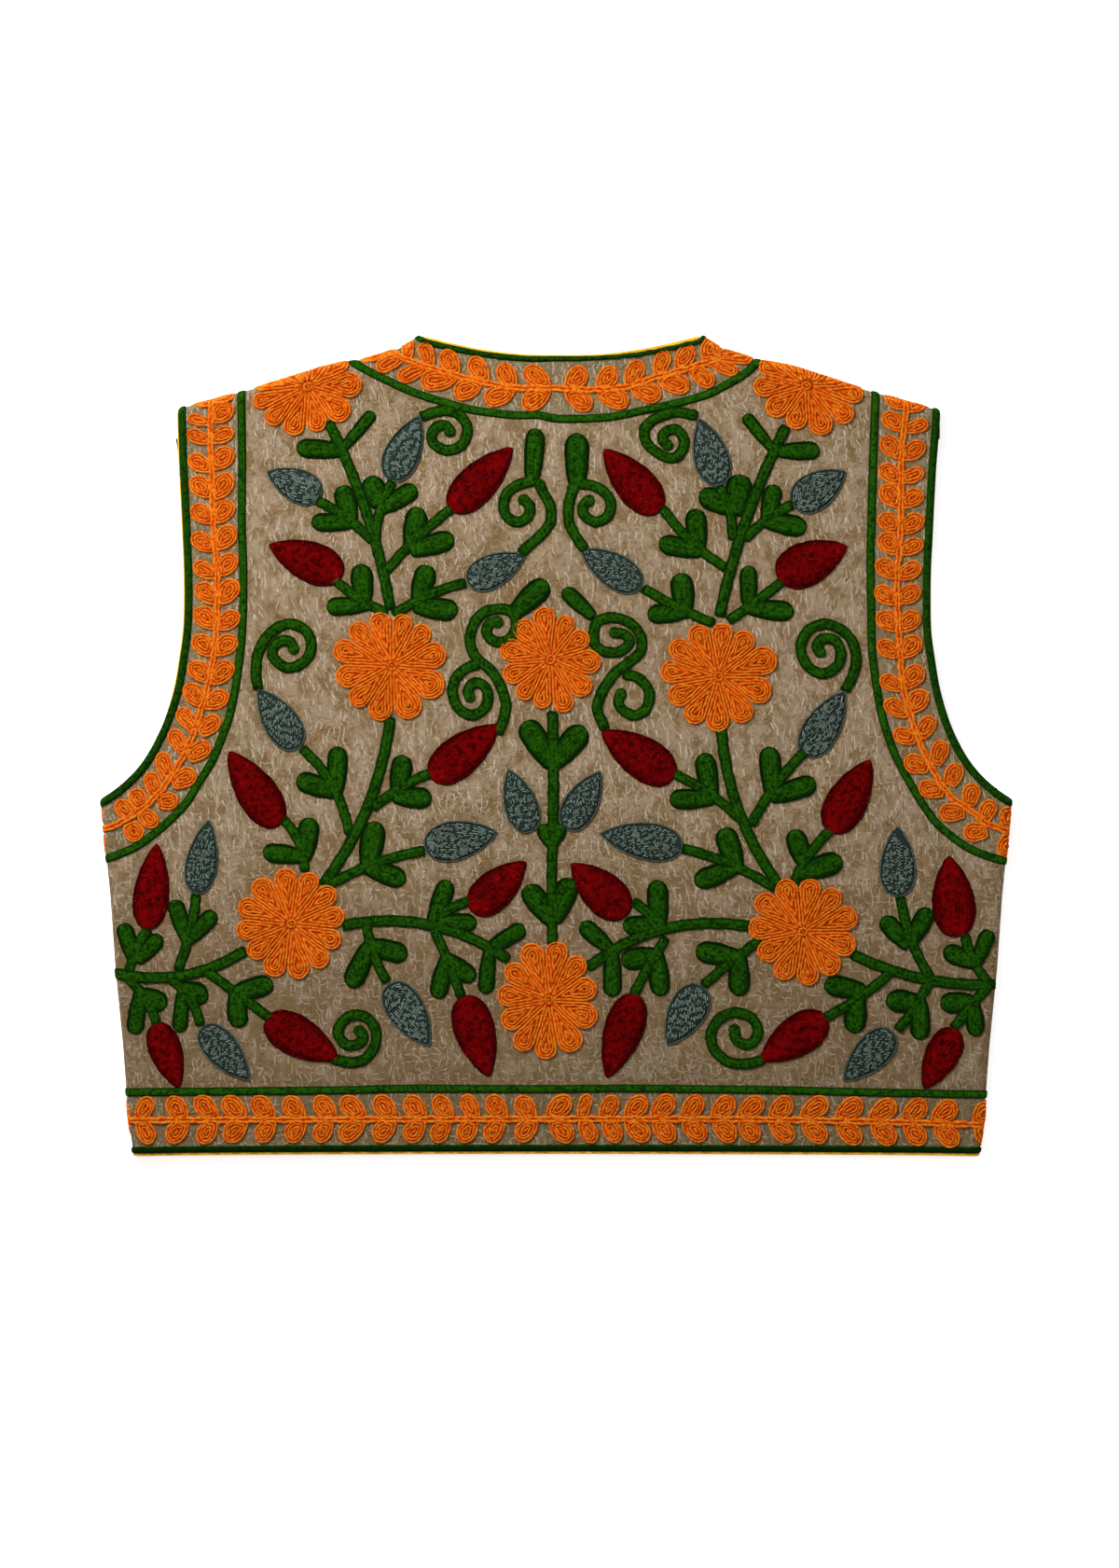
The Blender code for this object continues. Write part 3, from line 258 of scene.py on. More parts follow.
# leaves on the vines, from the side where each leaf leaves the vine to the side that it leans to:
# two places for the leaf on the inner side, None where it has none there, and two for the one
# towards the edge
HEM_LEAVES = (         # by x
    (-6, 9, -4.5, 10.2), (11, 19.8, 11.5, 23), (22.5, 34.3, 24, 36), (35.7, 49.7, 36, 51),
    (50, 64.3, 51, 64.8), (66.5, 79.8, 67, 81.5), (82.5, 96.5, 83.5, 97.3),
    (96.5, 112, 97.3, 110), (113.5, 127.5, 113.5, 128.3), (130, 146.5, 131, 146),
    (149, 165, 149.5, 164.5), (167, 183, 168, 183), (185, 199.5, 185.5, 199),
    (200.5, 215.5, 202, 216.5), (222.5, 235, 223.5, 236), (-10, -22.8, -9.5, -22.8),
    (-25.5, -38.5, -27, -39.5), (-40.5, -52, -41.5, -54), (-54.5, -67, -56, -68),
    (-69, -82.5, -69.5, -82.5), (-84.8, -98.8, -85.5, -99), (-101.3, -116.5, -102, -117.3),
    (-117, -130.8, -119, -130.8), (-133.8, -147.3, -133.5, -146), (-150, -164.3, -149.8, -162),
    (-165.5, -180, -165, -179.2), (-180.5, -194.8, -180.8, -193.3),
    (-196.8, -209.7, -196.5, -209.8), (-226, -214.8, -225.5, -214), (-228, -240, -228, -240),
)
NECK_LEAVES = (        # by x
    (4, 20, 4, 17.3), (21, 39.3, 21, 33.5), (39, 56.8, 36, 48), (53.5, 72, 51.5, 62),
    (None, None, 63, 75), (None, None, 77, 90), (-2.5, -19, -2.5, -18), (-21.5, -39, -20.5, -32.5),
    (-39, -55.5, -35.5, -48), (-52.5, -73, -51, -63), (None, None, -64.5, -74.5),
    (None, None, -75.5, -84), (None, None, -84, -92),
)
ARMHOLE_LEAVES_RIGHT = (   # by y
    (179.5, 191.5, 178.3, 190), (168, 179.8, 167, 176), (153.5, 167, 152.5, 164.5),
    (140, 152.3, 140.3, 150.3), (127.3, 141, 127.2, 138.7), (113.6, 126, 113.3, 125.6),
    (101.8, 115, 101.8, 112.3), (89, 101.3, 88.3, 99.8), (75, 87, 75.5, 87.3),
    (61, 73.3, 60.5, 73.3), (46.5, 58, 46.5, 60), (28.7, 39.3, 30, 44.3), (14.8, 26.5, 17, 31),
)
ARMHOLE_LEAVES_LEFT = (
    (183, 192, 181, 190), (172.5, 184.5, 171, 178.5), (161.5, 172, 161, 170.5),
    (147.5, 161, 146, 157.5), (131.5, 147, 132.5, 145.5), (119, 132.5, 118.5, 130.5),
    (104.5, 119, 103.5, 115.5), (90.5, 104, 89, 100), (75.5, 90, 75.5, 88.5),
    (61.5, 73.5, 62, 75.5), (48, 60.5, 47.5, 60.5), (32.5, 46.5, 33.5, 46.5), (19, 31, 20.5, 34.3),
)
# leaves where a vine turns or meets a fold: base x and y, tip x and y, width
NECK_END = (
    (85, 209, 105.8, 208, 8), (81.5, 206, 97.5, 200, 7.5), (72.5, 202.5, 84.5, 193.2, 10),
    (-69.5, 203.8, -85, 196.6, 9), (-82.5, 208.6, -96.5, 201.6, 8.5), (-88, 211.6, -106, 207.6, 7),
)
ARMHOLE_TURN_RIGHT = (
    (194.3, 5, 202.3, 16, 10), (202.8, -10, 207.8, 3.5, 10), (210.3, -21, 215.8, -9, 10.5),
    (220.8, -32, 223.8, -19.5, 10), (228.3, -40, 233.8, -28.5, 9.5), (241.5, -44, 241.5, -32, 9),
    (193.3, 4, 180.3, 7, 10), (200, -11, 185.8, -8, 11), (208, -24, 193.8, -22, 10.5),
    (219, -35, 204.8, -36, 10.5), (231, -45, 217.8, -47, 11), (243.5, -47.5, 240, -60, 12),
)
ARMHOLE_TURN_LEFT = (
    (-191.7, 8, -203, 20, 9.5), (-198.7, -3.5, -206.7, 9, 9.5), (-207.7, -18, -212.2, -3, 9.5),
    (-214.2, -27, -218.2, -13.5, 9.5), (-221.7, -33, -226.7, -22.5, 10),
    (-226.7, -38, -235.7, -29.5, 10), (-246, -42, -247, -31, 8), (-191.7, 7, -180.2, 15.5, 10),
    (-197.7, -6, -185.2, 1, 10.5), (-206.2, -20, -192.7, -14, 11), (-214, -30, -202.2, -29, 10),
    (-222.7, -35, -213.7, -43, 10), (-228.7, -41, -223.7, -51, 11), (-243.5, -47, -245.5, -59.5, 7),
)
LINE_WIDTH = 4.7       # green line beside a border
HEM_LINE = ((-252, -185.8), (-230, -185.3), (-180, -185), (-120, -184.4), (-80, -183.5),
            (-10, -183.7), (40, -183.4), (80, -183.8), (120, -184.3), (160, -185.3),
            (200, -186.1), (228, -186.5), (252, -186.8))
NECK_LINE = (
    (-116, 211), (-108, 205), (-100, 200.4), (-90, 195.6), (-80, 191), (-70, 187.3), (-60, 184.3),
    (-50, 181.4), (-40, 179.4), (-22, 177.4), (-10, 177.5), (0, 175.6), (15, 175.6), (30, 176.6),
    (45, 179.6), (60, 182.8), (72, 185.8), (82, 188.9), (90, 193), (100, 198.7), (108, 205.6),
    (114, 212),
)
ARMHOLE_LINE_RIGHT = (
    (171.4, 204), (170.7, 180), (169.7, 150), (168.9, 120), (168.4, 100), (168.8, 75), (169.4, 50),
    (173.8, 20), (179.8, 0), (184.3, -10), (189.8, -20), (195.8, -30), (202.8, -40),
    (210.3, -47), (221.8, -55), (235.8, -60.3), (248, -62.5),
)
ARMHOLE_LINE_LEFT = (
    (-168.8, 204), (-168.6, 180), (-168.4, 150), (-168.6, 120), (-167.9, 100), (-167.9, 75),
    (-169.4, 50), (-174.2, 20), (-181.1, 0), (-185.6, -10), (-192.1, -20), (-198.1, -30),
    (-207.6, -40), (-219.6, -50), (-227.6, -55), (-240, -60), (-250, -63),
)
EDGE_STEP = 1.6        # between the points of the cloth's edge
PUFF = 0.6             # height of the cloth's soft swelling between motifs
PUFF_REACH = 4.0       # from the stitches to where it has swelled
PUFF_OFF_FOLD = 12.0   # and from a fold
ROW_REACH = 1.5        # of a row's stitches to each side
MOTIF_SHADE_REACH = 2.0      # of the painted shade, in ochre, on the cloth beside a motif
BACK_STEP = 2.4        # between the points of the back's outer skin and its inner one
BACK_INSIDE_STEP = 9.0
FRONT_STEP = 5.0       # and the same for the fronts
FRONT_INSIDE_STEP = 11.0
FOLD_FROM = -8.0       # past the bend, where the even rows of points round a fold start and end
FOLD_TO = HALF_TURN + 2.5
RIPPLES = (            # centre x, centre y, turn in degrees, half length, half width, height
    (-60, -60, 70, 90, 26, 0.5), (70, 60, 100, 80, 24, 0.5), (10, -170, 5, 120, 18, 0.4),
)
WEAVE = 1.1            # from one thread of the cloth to the next

# the ground's colours, as linear light: its body and its ochre patches, the same in
# the borders, and its darkest and palest threads
CLOTH_BODY = (0.235, 0.17, 0.106)
CLOTH_OCHRE = (0.14, 0.087, 0.03)
BORDER_BODY = (0.155, 0.128, 0.072)
BORDER_OCHRE = (0.11, 0.085, 0.03)
CLOTH_DARK = (0.08, 0.05, 0.025)
CLOTH_PALE = (0.55, 0.455, 0.345)
SLUBS = {              # shift of the pattern, cell, half length, half width, lean, its spread, share
    "pale upright": (0.0, 4.2, 2.9, 0.36, math.pi / 2, 0.35, 0.45),
    "pale slanting": (77.0, 5.0, 3.6, 0.34, 1.35, 0.25, 0.4),
    "pale level": (31.0, 3.4, 2.1, 0.36, 0.05, 0.6, 0.4),
    "brown upright": (53.0, 4.6, 2.8, 0.6, math.pi / 2, 0.8, 0.5),
    "brown level": (95.0, 3.6, 1.8, 0.5, 0.0, 0.8, 0.4),
}


# ---- curves ----
def smooth(points, step):
    """Points about step apart along a Catmull-Rom curve through the given points."""
    p = np.array([q[:2] for q in points], float)
    ends = np.vstack([2 * p[0] - p[1], p, 2 * p[-1] - p[-2]])
    out = []
    for a, b, c, d in zip(ends, ends[1:], ends[2:], ends[3:]):
        count = max(1, round(np.linalg.norm(c - b) / step))
        t = (np.arange(count) / count)[:, None]
        out.append(0.5 * (2 * b + (c - a) * t + (2 * a - 5 * b + 4 * c - d) * t ** 2
                          + (3 * b - 3 * c + d - a) * t ** 3))
    return np.vstack(out + [p[-1:]])


def headings(path, closed=False):
    """The unit direction of a path at each of its points."""
    if closed:
        ahead = np.roll(path, -1, 0) - np.roll(path, 1, 0)
    else:
        ahead = np.gradient(path, axis=0)
    return ahead / np.maximum(np.linalg.norm(ahead, axis=1, keepdims=True), 1e-9)


def left_of(way):
    return np.stack([-way[:, 1], way[:, 0]], 1)


def shifted(path, distance, closed=False):
    """A path moved sideways, to the left of its own way."""
    return path + left_of(headings(path, closed)) * distance


def lengths(path, closed=False):
    """The distance of each point from the first, along the path."""
    whole = np.vstack([path, path[:1]]) if closed else path
    return np.concatenate([[0], np.cumsum(np.linalg.norm(np.diff(whole, axis=0), axis=1))])


def even(path, step, closed=False, multiple=1):
    """A path drawn again with even steps.  A closed one doesn't repeat its first point."""
    run = lengths(path, closed)
    whole = np.vstack([path, path[:1]]) if closed else path
    count = max(multiple, multiple * round(run[-1] / step / multiple))
    at = np.linspace(0, run[-1], count + 1)
    if closed:
        at = at[:-1]
    return np.stack([np.interp(at, run, whole[:, k]) for k in (0, 1)], 1)


def bowed(x0, y0, x1, y1, bow):
    """A shallow arc between two points, with its middle bow to the left of the chord."""
    start, chord = np.array([x0, y0]), np.array([x1 - x0, y1 - y0])
    side = np.array([-chord[1], chord[0]]) / np.hypot(*chord)
    t = np.linspace(0, 1, 24)[:, None]
    return start + chord * t + side * (4 * bow * t * (1 - t))


# ---- the cloth ----
def side_bend(y):
    """Half width at which the cloth starts to roll under at the sides."""
    ys, halves = np.array(SIDE).T
    return np.interp(y, ys[::-1], halves[::-1]) - OUTER


def shoulder_bend(x):
    """The y at which it starts to roll under at the shoulders."""
    neck_x = SHOULDER_NECK[0] + np.copysign(NECK_SHIFT, x)
    slope = (SHOULDER_NECK[1] - SHOULDER_TIP[1]) / (SHOULDER_TIP[0] - neck_x)
    dip = np.interp(np.abs(x) - neck_x, *np.array(SHOULDER_DIP).T)
    return SHOULDER_TIP[1] + slope * (SHOULDER_TIP[0] - np.abs(x)) - OUTER - dip


def past_bend(x, y):
    """How far a point of the cut lies past the bend of the side and of the shoulder."""
    return np.abs(x) - side_bend(y), y - shoulder_bend(x)


def seam_reach(x, y):
    """How far a point of the cut lies short of the nearer seam, along the roll of the fold."""
    side, shoulder = past_bend(x, y)
    return np.minimum(HALF_TURN + SIDE_WRAP - side, HALF_TURN + SHOULDER_WRAP - shoulder)


def ripple(x, y):
    """Soft unevenness of the cloth where it lies on the fronts."""
    total = 0.0
    for cx, cy, turn, long, wide, high in RIPPLES:
        c, s = math.cos(math.radians(turn)), math.sin(math.radians(turn))
        u = ((x - cx) * c + (y - cy) * s) / long
        v = (-(x - cx) * s + (y - cy) * c) / wide
        total = total + high * np.exp(-u * u - v * v)
    return total


def fold_over(x, y, h, lift):
    """World points of the back's cut: h off the middle of the cloth, and lift added where it
    lies flat."""
    side, shoulder = past_bend(x, y)
    past = np.maximum(side, shoulder)
    turn = np.clip(past / FOLD_RADIUS, 0, math.pi)
    near = np.exp(-(np.minimum(past, 0) / LIFT_REACH) ** 2)
    flat = CLOTH / 2 + CLOTH + LAYER_GAP
    level = flat + (CLOTH / 2 + 2 * FOLD_RADIUS - flat) * near + h + (1 - near) * lift
    reach = FOLD_RADIUS * np.sin(turn) - np.maximum(past - HALF_TURN, 0) + h * np.sin(turn)
    rolled = CLOTH / 2 + FOLD_RADIUS * (1 + np.cos(turn)) + h * np.cos(turn)
    bent = past > 0
    to_side = bent & (side >= shoulder)
    to_shoulder = bent & ~to_side
    wx = np.where(to_side, np.copysign(side_bend(y) + reach, x), x)
    wy = np.where(to_shoulder, shoulder_bend(x) + reach, y)
    return np.stack([wx, wy, np.where(bent, rolled, level)], -1) * MM


def turned_under(x, y):
    """0 where the cloth lies on top, rising to 1 where it has rolled underneath."""
    past = np.maximum(*past_bend(x, y))
    return np.sin(np.clip(past / FOLD_RADIUS, 0, math.pi) / 2)


def on_back(x, y, rise):
    """World points at a height over the back's outer skin."""
    under = turned_under(x, y)
    h = CLOTH / 2 - UNDER_SKIN * under + rise * (1 - (1 - THREAD_SQUASH) * under)
    return fold_over(x, y, h, ripple(x, y))


def on_edge(x, y, h):
    """World points at h off the middle of the cloth, pressed flatter on the underside."""
    squashed = h * (1 - EDGE_SQUASH * turned_under(x, y))
    return fold_over(x, y, np.where(h > 0, squashed, h), ripple(x, y))


def inside_back(x, y, rise):
    """World points of the back's inner skin, which is plain, so that rise isn't used."""
    return fold_over(x, y, np.full_like(x, -CLOTH / 2), ripple(x, y))


def on_front(x, y, rise):
    """World points under the fronts, whose outer side lies on the floor."""
    return np.stack([x, y, UNDER_SKIN - THREAD_SQUASH * rise], -1) * MM


# ---- meshes ----
def mesh_object(name, points, faces, attributes=()):
    """An object from points, and faces given as arrays with one row a face."""
    mesh = bpy.data.meshes.new(name)
    faces = [np.asarray(f, np.int32) for f in faces if len(f)]
    loops = np.concatenate([f.ravel() for f in faces])
    sizes = np.concatenate([np.full(len(f), f.shape[1]) for f in faces])
    mesh.vertices.add(len(points))
    mesh.vertices.foreach_set("co", np.asarray(points, np.float32).ravel())
    mesh.loops.add(len(loops))
    mesh.loops.foreach_set("vertex_index", loops)
    mesh.polygons.add(len(sizes))
    mesh.polygons.foreach_set("loop_start", np.concatenate([[0], np.cumsum(sizes)[:-1]]))
    mesh.polygons.foreach_set("use_smooth", np.ones(len(sizes), bool))
    for label, values in attributes:
        layer = mesh.attributes.new(label, "FLOAT", "POINT")
        layer.data.foreach_set("value", np.asarray(values, np.float32))
    mesh.update(calc_edges=True)
    mesh.validate()
    made = bpy.data.objects.new(name, mesh)
    bpy.context.scene.collection.objects.link(made)
    return made


# across the row, and at a link's joint and its middle: width, strand and middle height
ACROSS = np.array([-1.0, -0.52, 0.0, 0.52, 1.0])
LINK = np.array([(0.84, 0.66, 0.86), (1.12, 0.94, 0.60)])
# the dark hole of each link, like the dark gap between rows, is painted shade
HOLE_LONG = 0.26       # half length of a link's dark hole, in links
HOLE_WIDE = 0.3        # half its width, as a share of the row's half width
STRIP_ACROSS = 0.3     # an edge strip's place in the stitch pattern
# how near to a motif's rim an edge strip counts, which gives it some painted rim shade
STRIP_RIM = 0.7
# what each point of the embroidery knows: its place along and across its row, how near it is to
# the motif's rim, and its row's own tint
STITCH_ATTRIBUTES = ("along", "across", "rim", "tint")
MAZE_GAP = 1.1         # between the middles of the short turning stitches of a blue-grey bud
START_CLEAR = 0.88     # share of the gap that a stitch needs to start, and to go on
WAY_CLEAR = 0.76
MAZE_STEP = 0.45       # between the points of such a stitch
MAZE_RIM = 0.6         # of the row round the bud, in from its outline
NESTED_SHARE = 0.4     # of the blue-grey buds, with stitches that follow the outline
PETAL_GAP = 0.012      # turn left free between petals
FIRST_INSET = 0.75     # of a motif's outermost row from the outline
SHORTEST = 1.2         # row that is drawn
SUNK = -0.4            # height of a row's edges, just under the cloth
DRIFTS = ((1.0, 11.0), (0.6, 5.0))   # share and wave length of each sway of a wandering row
UNEVEN = 0.07          # spread of the links' width and height
RIM_WANDER = 0.08      # of a motif's outermost row
END_WIDTH = 0.6        # of a row's first and last link, as shares of the others
END_HEIGHT = 0.3
EYE = 3.3              # radius of the round end of a scroll
FLOWER_MIDDLE = 20.5   # radius of the filling under the middle of a flower
KNOT = 2.0             # radius of the row round the knot there
RED_BUD_MORE = 1.2     # width that a red bud's rows have beyond its own
LEAF_FULLER = 1.05     # and the same for a leaf, as a share
LONG_STEM = 60.0       # a longer stem is wider
LONG_STEM_WIDTH = 6.3
STEM_WIDTH = 5.8
SCROLL_WIDTH = 6.1
VINE_WIDTH = 3.9
ONE_ROW_CORD = 5.0     # a narrower felted cord is one row
TWO_ROW_CORD = 4.2     # a narrower cord of another kind has no row in its middle
# points across the filling under a motif, and the height of the inner seven
PAD_OFF = np.array([-1, -0.94, -0.74, -0.4, 0, 0.4, 0.74, 0.94, 1])
PAD_HIGH = np.array([0.40, 0.76, 0.95, 1.0, 0.95, 0.76, 0.40])
# the rows' distance apart and their links' length, the filling's height, the rows' height, how
# much lower the rows are at the rim, how far they wander, how open their links are, and the
# filling's place in the stitch pattern: in the painted shade of the gap between rows, or bare strand
CHAIN = {"pitch": 1.55, "link": 1.8, "pad": 1.05, "rise": 1.7, "droop": 0.1, "wander": 0.2, "open": 1.0,
         "tone": (0.0, 0.85)}
MAZE = {"pitch": MAZE_GAP, "link": 1.0, "pad": 0.8, "rise": 1.6, "droop": 0.3, "wander": 0.0,
        "open": 0.3, "tone": (0.5, 0.85)}
FELTED = {"pitch": 2.0, "link": 2.0, "pad": 1.5, "rise": 1.7, "droop": 0.35, "wander": 0.15, "open": 0.4,
          "tone": (0.5, 0.5)}
SMOOTH = {"pitch": 2.0, "link": 2.0, "pad": 1.6, "rise": 1.75, "droop": 0.4, "wander": 0.35, "open": 0.3,
          "tone": (0.5, 0.5)}


def spans(kept):
    """The first and the past-last place of each unbroken run of kept points."""
    edges = np.flatnonzero(np.diff(np.concatenate([[0], kept.astype(int), [0]])))
    return zip(edges[::2], edges[1::2])


class Rows:
    """Chain-stitched rows gathered into one mesh."""

    def __init__(self, place=on_back, reach=seam_reach, style=CHAIN):
        self.place, self.reach, self.style = place, reach, style
        self.points, self.quads, self.tracks = [], [], []
        self.along, self.across, self.rim, self.tint = [], [], [], []
        self.count = 0

    def add(self, path, closed=False, half=None, rise=None, base=0.0, wander=None, rim=0.0):
        """A row along a path, where it is on the cloth.  Its half width, its height and
        how far it wanders come from the style unless given.  With rim near 1 it is a motif's
        outer row, which is lower and takes more painted rim shade."""
        half = self.style["pitch"] / 2 if half is None else half
        rise = self.style["rise"] * (1 - self.style["droop"] * rim ** 2) if rise is None else rise
        wander = self.style["wander"] if wander is None else wander
        run = lengths(path, closed)[-1]
        if run < SHORTEST:
            return
        path = even(path, self.style["link"] / 2, closed, 2)
        at = np.linspace(0, 1, len(path), endpoint=not closed)
        drift = 0.0
        for share, wave in DRIFTS:
            turns = max(1, round(run / wave))
            drift = drift + share * np.sin(2 * math.pi * (turns * at + random.random()))
        path = path + left_of(headings(path, closed)) * (wander * drift)[:, None]
        if closed:
            path = np.vstack([path, path[:1]])
        self.tracks.append(path[::2])
        inside = self.reach(path[:, 0], path[:, 1]) > half
        if inside.all():
            self.strip(path, closed, half, rise, base, rim)
            return
        for first, last in spans(inside):
            if last - first > 3:
                self.strip(path[first:last], False, half, rise, base, rim)

    def worked(self):
        """Places along the rows, in the cut's plane."""
        return np.vstack(self.tracks)

    def strip(self, path, closed, half, rise, base, rim):
        """The ribbon of one row, narrow at a link's joint and wide at its middle."""
        n = len(path)
        kind = 1 - self.style["open"] * (1 - LINK[np.arange(n) % 2])
        way = headings(path)
        if closed:
            ends = path[1] - path[-2]
            way[0] = way[-1] = ends / max(np.linalg.norm(ends), 1e-9)
        side = left_of(way)
        width, strand, middle = kind.T
        uneven = 1 + UNEVEN * random.standard_normal(n)
        if closed:
            uneven[-1] = uneven[0]
        else:
            width = width.copy()
            width[[0, -1]] *= END_WIDTH
            low_ends = np.where(np.arange(n) % (n - 1), 1, END_HEIGHT)
            strand, middle = strand * low_ends, middle * low_ends
        off = (half * width * uneven)[:, None] * ACROSS[None]
        xy = path[:, None] + side[:, None] * off[:, :, None]
        high = np.stack([np.full(n, SUNK), rise * strand * uneven, rise * middle * uneven,
                         rise * strand * uneven, np.full(n, SUNK)], 1)
        high[:, 1:4] += base
        self.skin(self.place(xy[..., 0], xy[..., 1], high), np.arange(n) / 2, ACROSS,
                  np.full(len(ACROSS), rim))

    def pad(self, spine, half_widths):
        """A low domed filling under a motif's rows, of uneven width along its spine."""
        keep = self.reach(spine[:, 0], spine[:, 1]) > np.maximum(half_widths, 1.0)
        for first, last in spans(keep):
            if last - first < 4:
                continue
            path, half = spine[first:last], np.maximum(half_widths[first:last], 0.05)
            xy = path[:, None] + left_of(headings(path))[:, None] * (half[:, None] * PAD_OFF)[:, :, None]
            n = len(path)
            top = self.style["pad"] * np.sqrt(np.minimum(half / 2.0, 1))
            high = np.column_stack([np.full(n, SUNK), top[:, None] * PAD_HIGH, np.full(n, SUNK)])
            high[[0, -1]] = SUNK
            # where its style puts the filling in the gap between rows it shows that gap's painted shade, and
            # towards its sides it takes painted rim shade
            phase, tone = self.style["tone"]
            self.skin(self.place(xy[..., 0], xy[..., 1], high), np.full(n, phase),
                      np.full(len(PAD_OFF), tone), np.abs(PAD_OFF))

    def skin(self, world, along, across, rim):
        """Quads between rows of points."""
        n, m = world.shape[:2]
        first = m * np.arange(n - 1)[:, None, None]
        k = np.arange(m - 1)[None, :, None]
        corner = np.array([0, m, m + 1, 1])[None, None]
        self.gather(world, first + k + corner, along, across, rim, random.random())

    def gather(self, world, quads, along, across, rim, tint):
        """Takes in rows of points, the faces between them and what each point knows."""
        n, m = world.shape[:2]
        self.quads.append(self.count + quads.reshape(-1, 4))
        self.points.append(world.reshape(-1, 3))
        self.along.append(np.repeat(along, m))
        self.across.append(np.tile(across, n))
        self.rim.append(np.tile(rim, n))
        self.tint.append(np.full(m * n, tint))
        self.count += m * n

    def build(self, name):
        attributes = [(label, np.concatenate(getattr(self, label)))
                      for label in STITCH_ATTRIBUTES]
        return mesh_object(name, np.concatenate(self.points), [np.concatenate(self.quads)],
                           attributes=attributes)


# ---- motifs ----
def inset(loop, distance):
    """An outline drawn anticlockwise, moved inwards, without the parts that would fold over."""
    moved = shifted(loop, distance, closed=True)
    gap = np.sqrt(((moved[:, None] - loop[None]) ** 2).sum(2)).min(1)
    return moved[gap > distance - 0.04]


def blade(axis, width, profile):
    """Outline of a leaf or bud, anticlockwise, round an axis that runs from base to tip."""
    axis = even(np.asarray(axis, float), 0.6)
    u = np.linspace(0, 1, len(axis))
    side = left_of(headings(axis)) * (profile(u) * width / 2)[:, None]
    return even(np.vstack([axis - side, (axis + side)[::-1]]), 0.5, closed=True)


def bud_profile(u):
    """Half width of a bud along its axis, as a share: round base, pointed tip."""
    fullest = 0.4345
    return u ** 0.47 * (1 - u) ** 0.8 / fullest


def leaf_profile(spine, width, base=0.62):
    """The same for a leaf of this size: cut off at its base and round at its end."""
    cap = min(0.5, 0.56 * width / lengths(spine)[-1])

    def profile(u):
        grow = base + (1 - base) * np.sin(np.clip(u / 0.6, 0, 1) * math.pi / 2)
        return grow * np.sqrt(np.clip(1 - (np.clip(u - 1 + cap, 0, 1) / cap) ** 2, 0, 1))

    return profile


def fill(rows, outline, half_width, spine, base=0.0, dome=0.1):
    """Nested rows from the outline inwards, and one along the spine where room is left."""
    distance, pitch = FIRST_INSET, rows.style["pitch"]
    while half_width - distance > 0.45 * pitch:
        ring = inset(outline, distance)
        if len(ring) < 8:
            break
        rows.add(ring, True, base=base, wander=RIM_WANDER if distance == FIRST_INSET else None,
                 rim=max(0.0, 1 - distance / max(half_width, 4.0)))
        distance += pitch
        base += dome
    if half_width - distance + pitch > 0.85 * pitch:
        apart = np.sqrt(((spine[:, None] - outline[None]) ** 2).sum(2)).min(1)
        middle = spine[apart > distance - 0.5 * pitch]
        if len(middle) > 3:
            rows.add(middle, base=base)


def maze(rows, outline, spine):
    """Short stitches that turn this way and that inside an outline, an even gap apart."""
    rows.add(inset(outline, MAZE_RIM), True, half=0.5, rise=1.1, rim=0.95)
    ahead = spine[-1] - spine[0]
    lean, wave = math.atan2(ahead[1], ahead[0]), random.uniform(0, 2 * math.pi, 4)
    lean += random.choice((0.0, 0.5, 1.2, -0.5))
    curl = random.uniform(0.2, 0.7)
    nested = random.random() < NESTED_SHARE
    rim_way = headings(outline, closed=True)

    def heading(x, y):
        sway = (math.sin(x / 1.9 + wave[0] + math.sin(y / 2.6 + wave[1]))
                + math.sin(y / 2.1 + wave[2] + math.sin(x / 2.9 + wave[3])))
        if not nested:
            return lean + curl * sway
        side = rim_way[((outline - (x, y)) ** 2).sum(1).argmin()]
        return math.atan2(side[1], side[0]) + 0.15 * sway

    def clear(at, gap):
        if len(laid) and ((laid - at) ** 2).sum(1).min() < gap ** 2:
            return False
        return ((outline - at) ** 2).sum(1).min() > (MAZE_GAP + MAZE_RIM) ** 2 and contains(
            outline, at[None])[0]

    laid = np.zeros((0, 2))
    waiting = [spine[len(spine) // 2]]
    while waiting:
        start = waiting.pop(random.integers(len(waiting)))
        if not clear(start, START_CLEAR * MAZE_GAP):
            continue
        longest = random.uniform(1.0, 4.5 if nested else 2.6)
        ways = []
        for sign in (1, -1):
            at, way = start, []
            while len(way) * MAZE_STEP < longest:
                turn = heading(*at)
                at = at + sign * MAZE_STEP * np.array([math.cos(turn), math.sin(turn)])
                if not clear(at, WAY_CLEAR * MAZE_GAP):
                    break
                way.append(at)
            ways.append(way)
        path = np.array(ways[1][::-1] + [start] + ways[0])
        if (len(path) - 1) * MAZE_STEP > SHORTEST:
            laid = np.vstack([laid, path])
            rows.add(path, half=0.56, rise=random.uniform(1.45, 1.9))
            for side in (MAZE_GAP, -MAZE_GAP):
                waiting.extend(shifted(path, side))
            way = path[-1] - path[-2]
            waiting.append(path[-1] + way / np.linalg.norm(way) * MAZE_GAP)


def pad_under(rows, spine, width, profile, less=0.25):
    """The filling under a motif, a little narrower than the motif."""
    u = np.linspace(0, 1, max(8, round(lengths(spine)[-1] / 0.9)))
    path = np.stack([np.interp(u, np.linspace(0, 1, len(spine)), spine[:, k]) for k in (0, 1)], 1)
    rows.pad(path, profile(u) * width / 2 - less)


def straight_axis(base_x, base_y, tip_x, tip_y, back=0.0, ahead=0.0):
    """An axis from base to tip, drawn out behind and ahead."""
    base, tip = np.array([base_x, base_y], float), np.array([tip_x, tip_y], float)
    way = (tip - base) / np.linalg.norm(tip - base)
    return even(np.array([base - way * back, tip + way * ahead]), 0.5)


def red_bud(rows, base_x, base_y, tip_x, tip_y, width):
    spine = straight_axis(base_x, base_y, tip_x, tip_y, 0.8, 1.0)
    width = width + RED_BUD_MORE
    pad_under(rows, spine, width, bud_profile)
    fill(rows, blade(spine, width, bud_profile), width / 2, spine, dome=0.0)


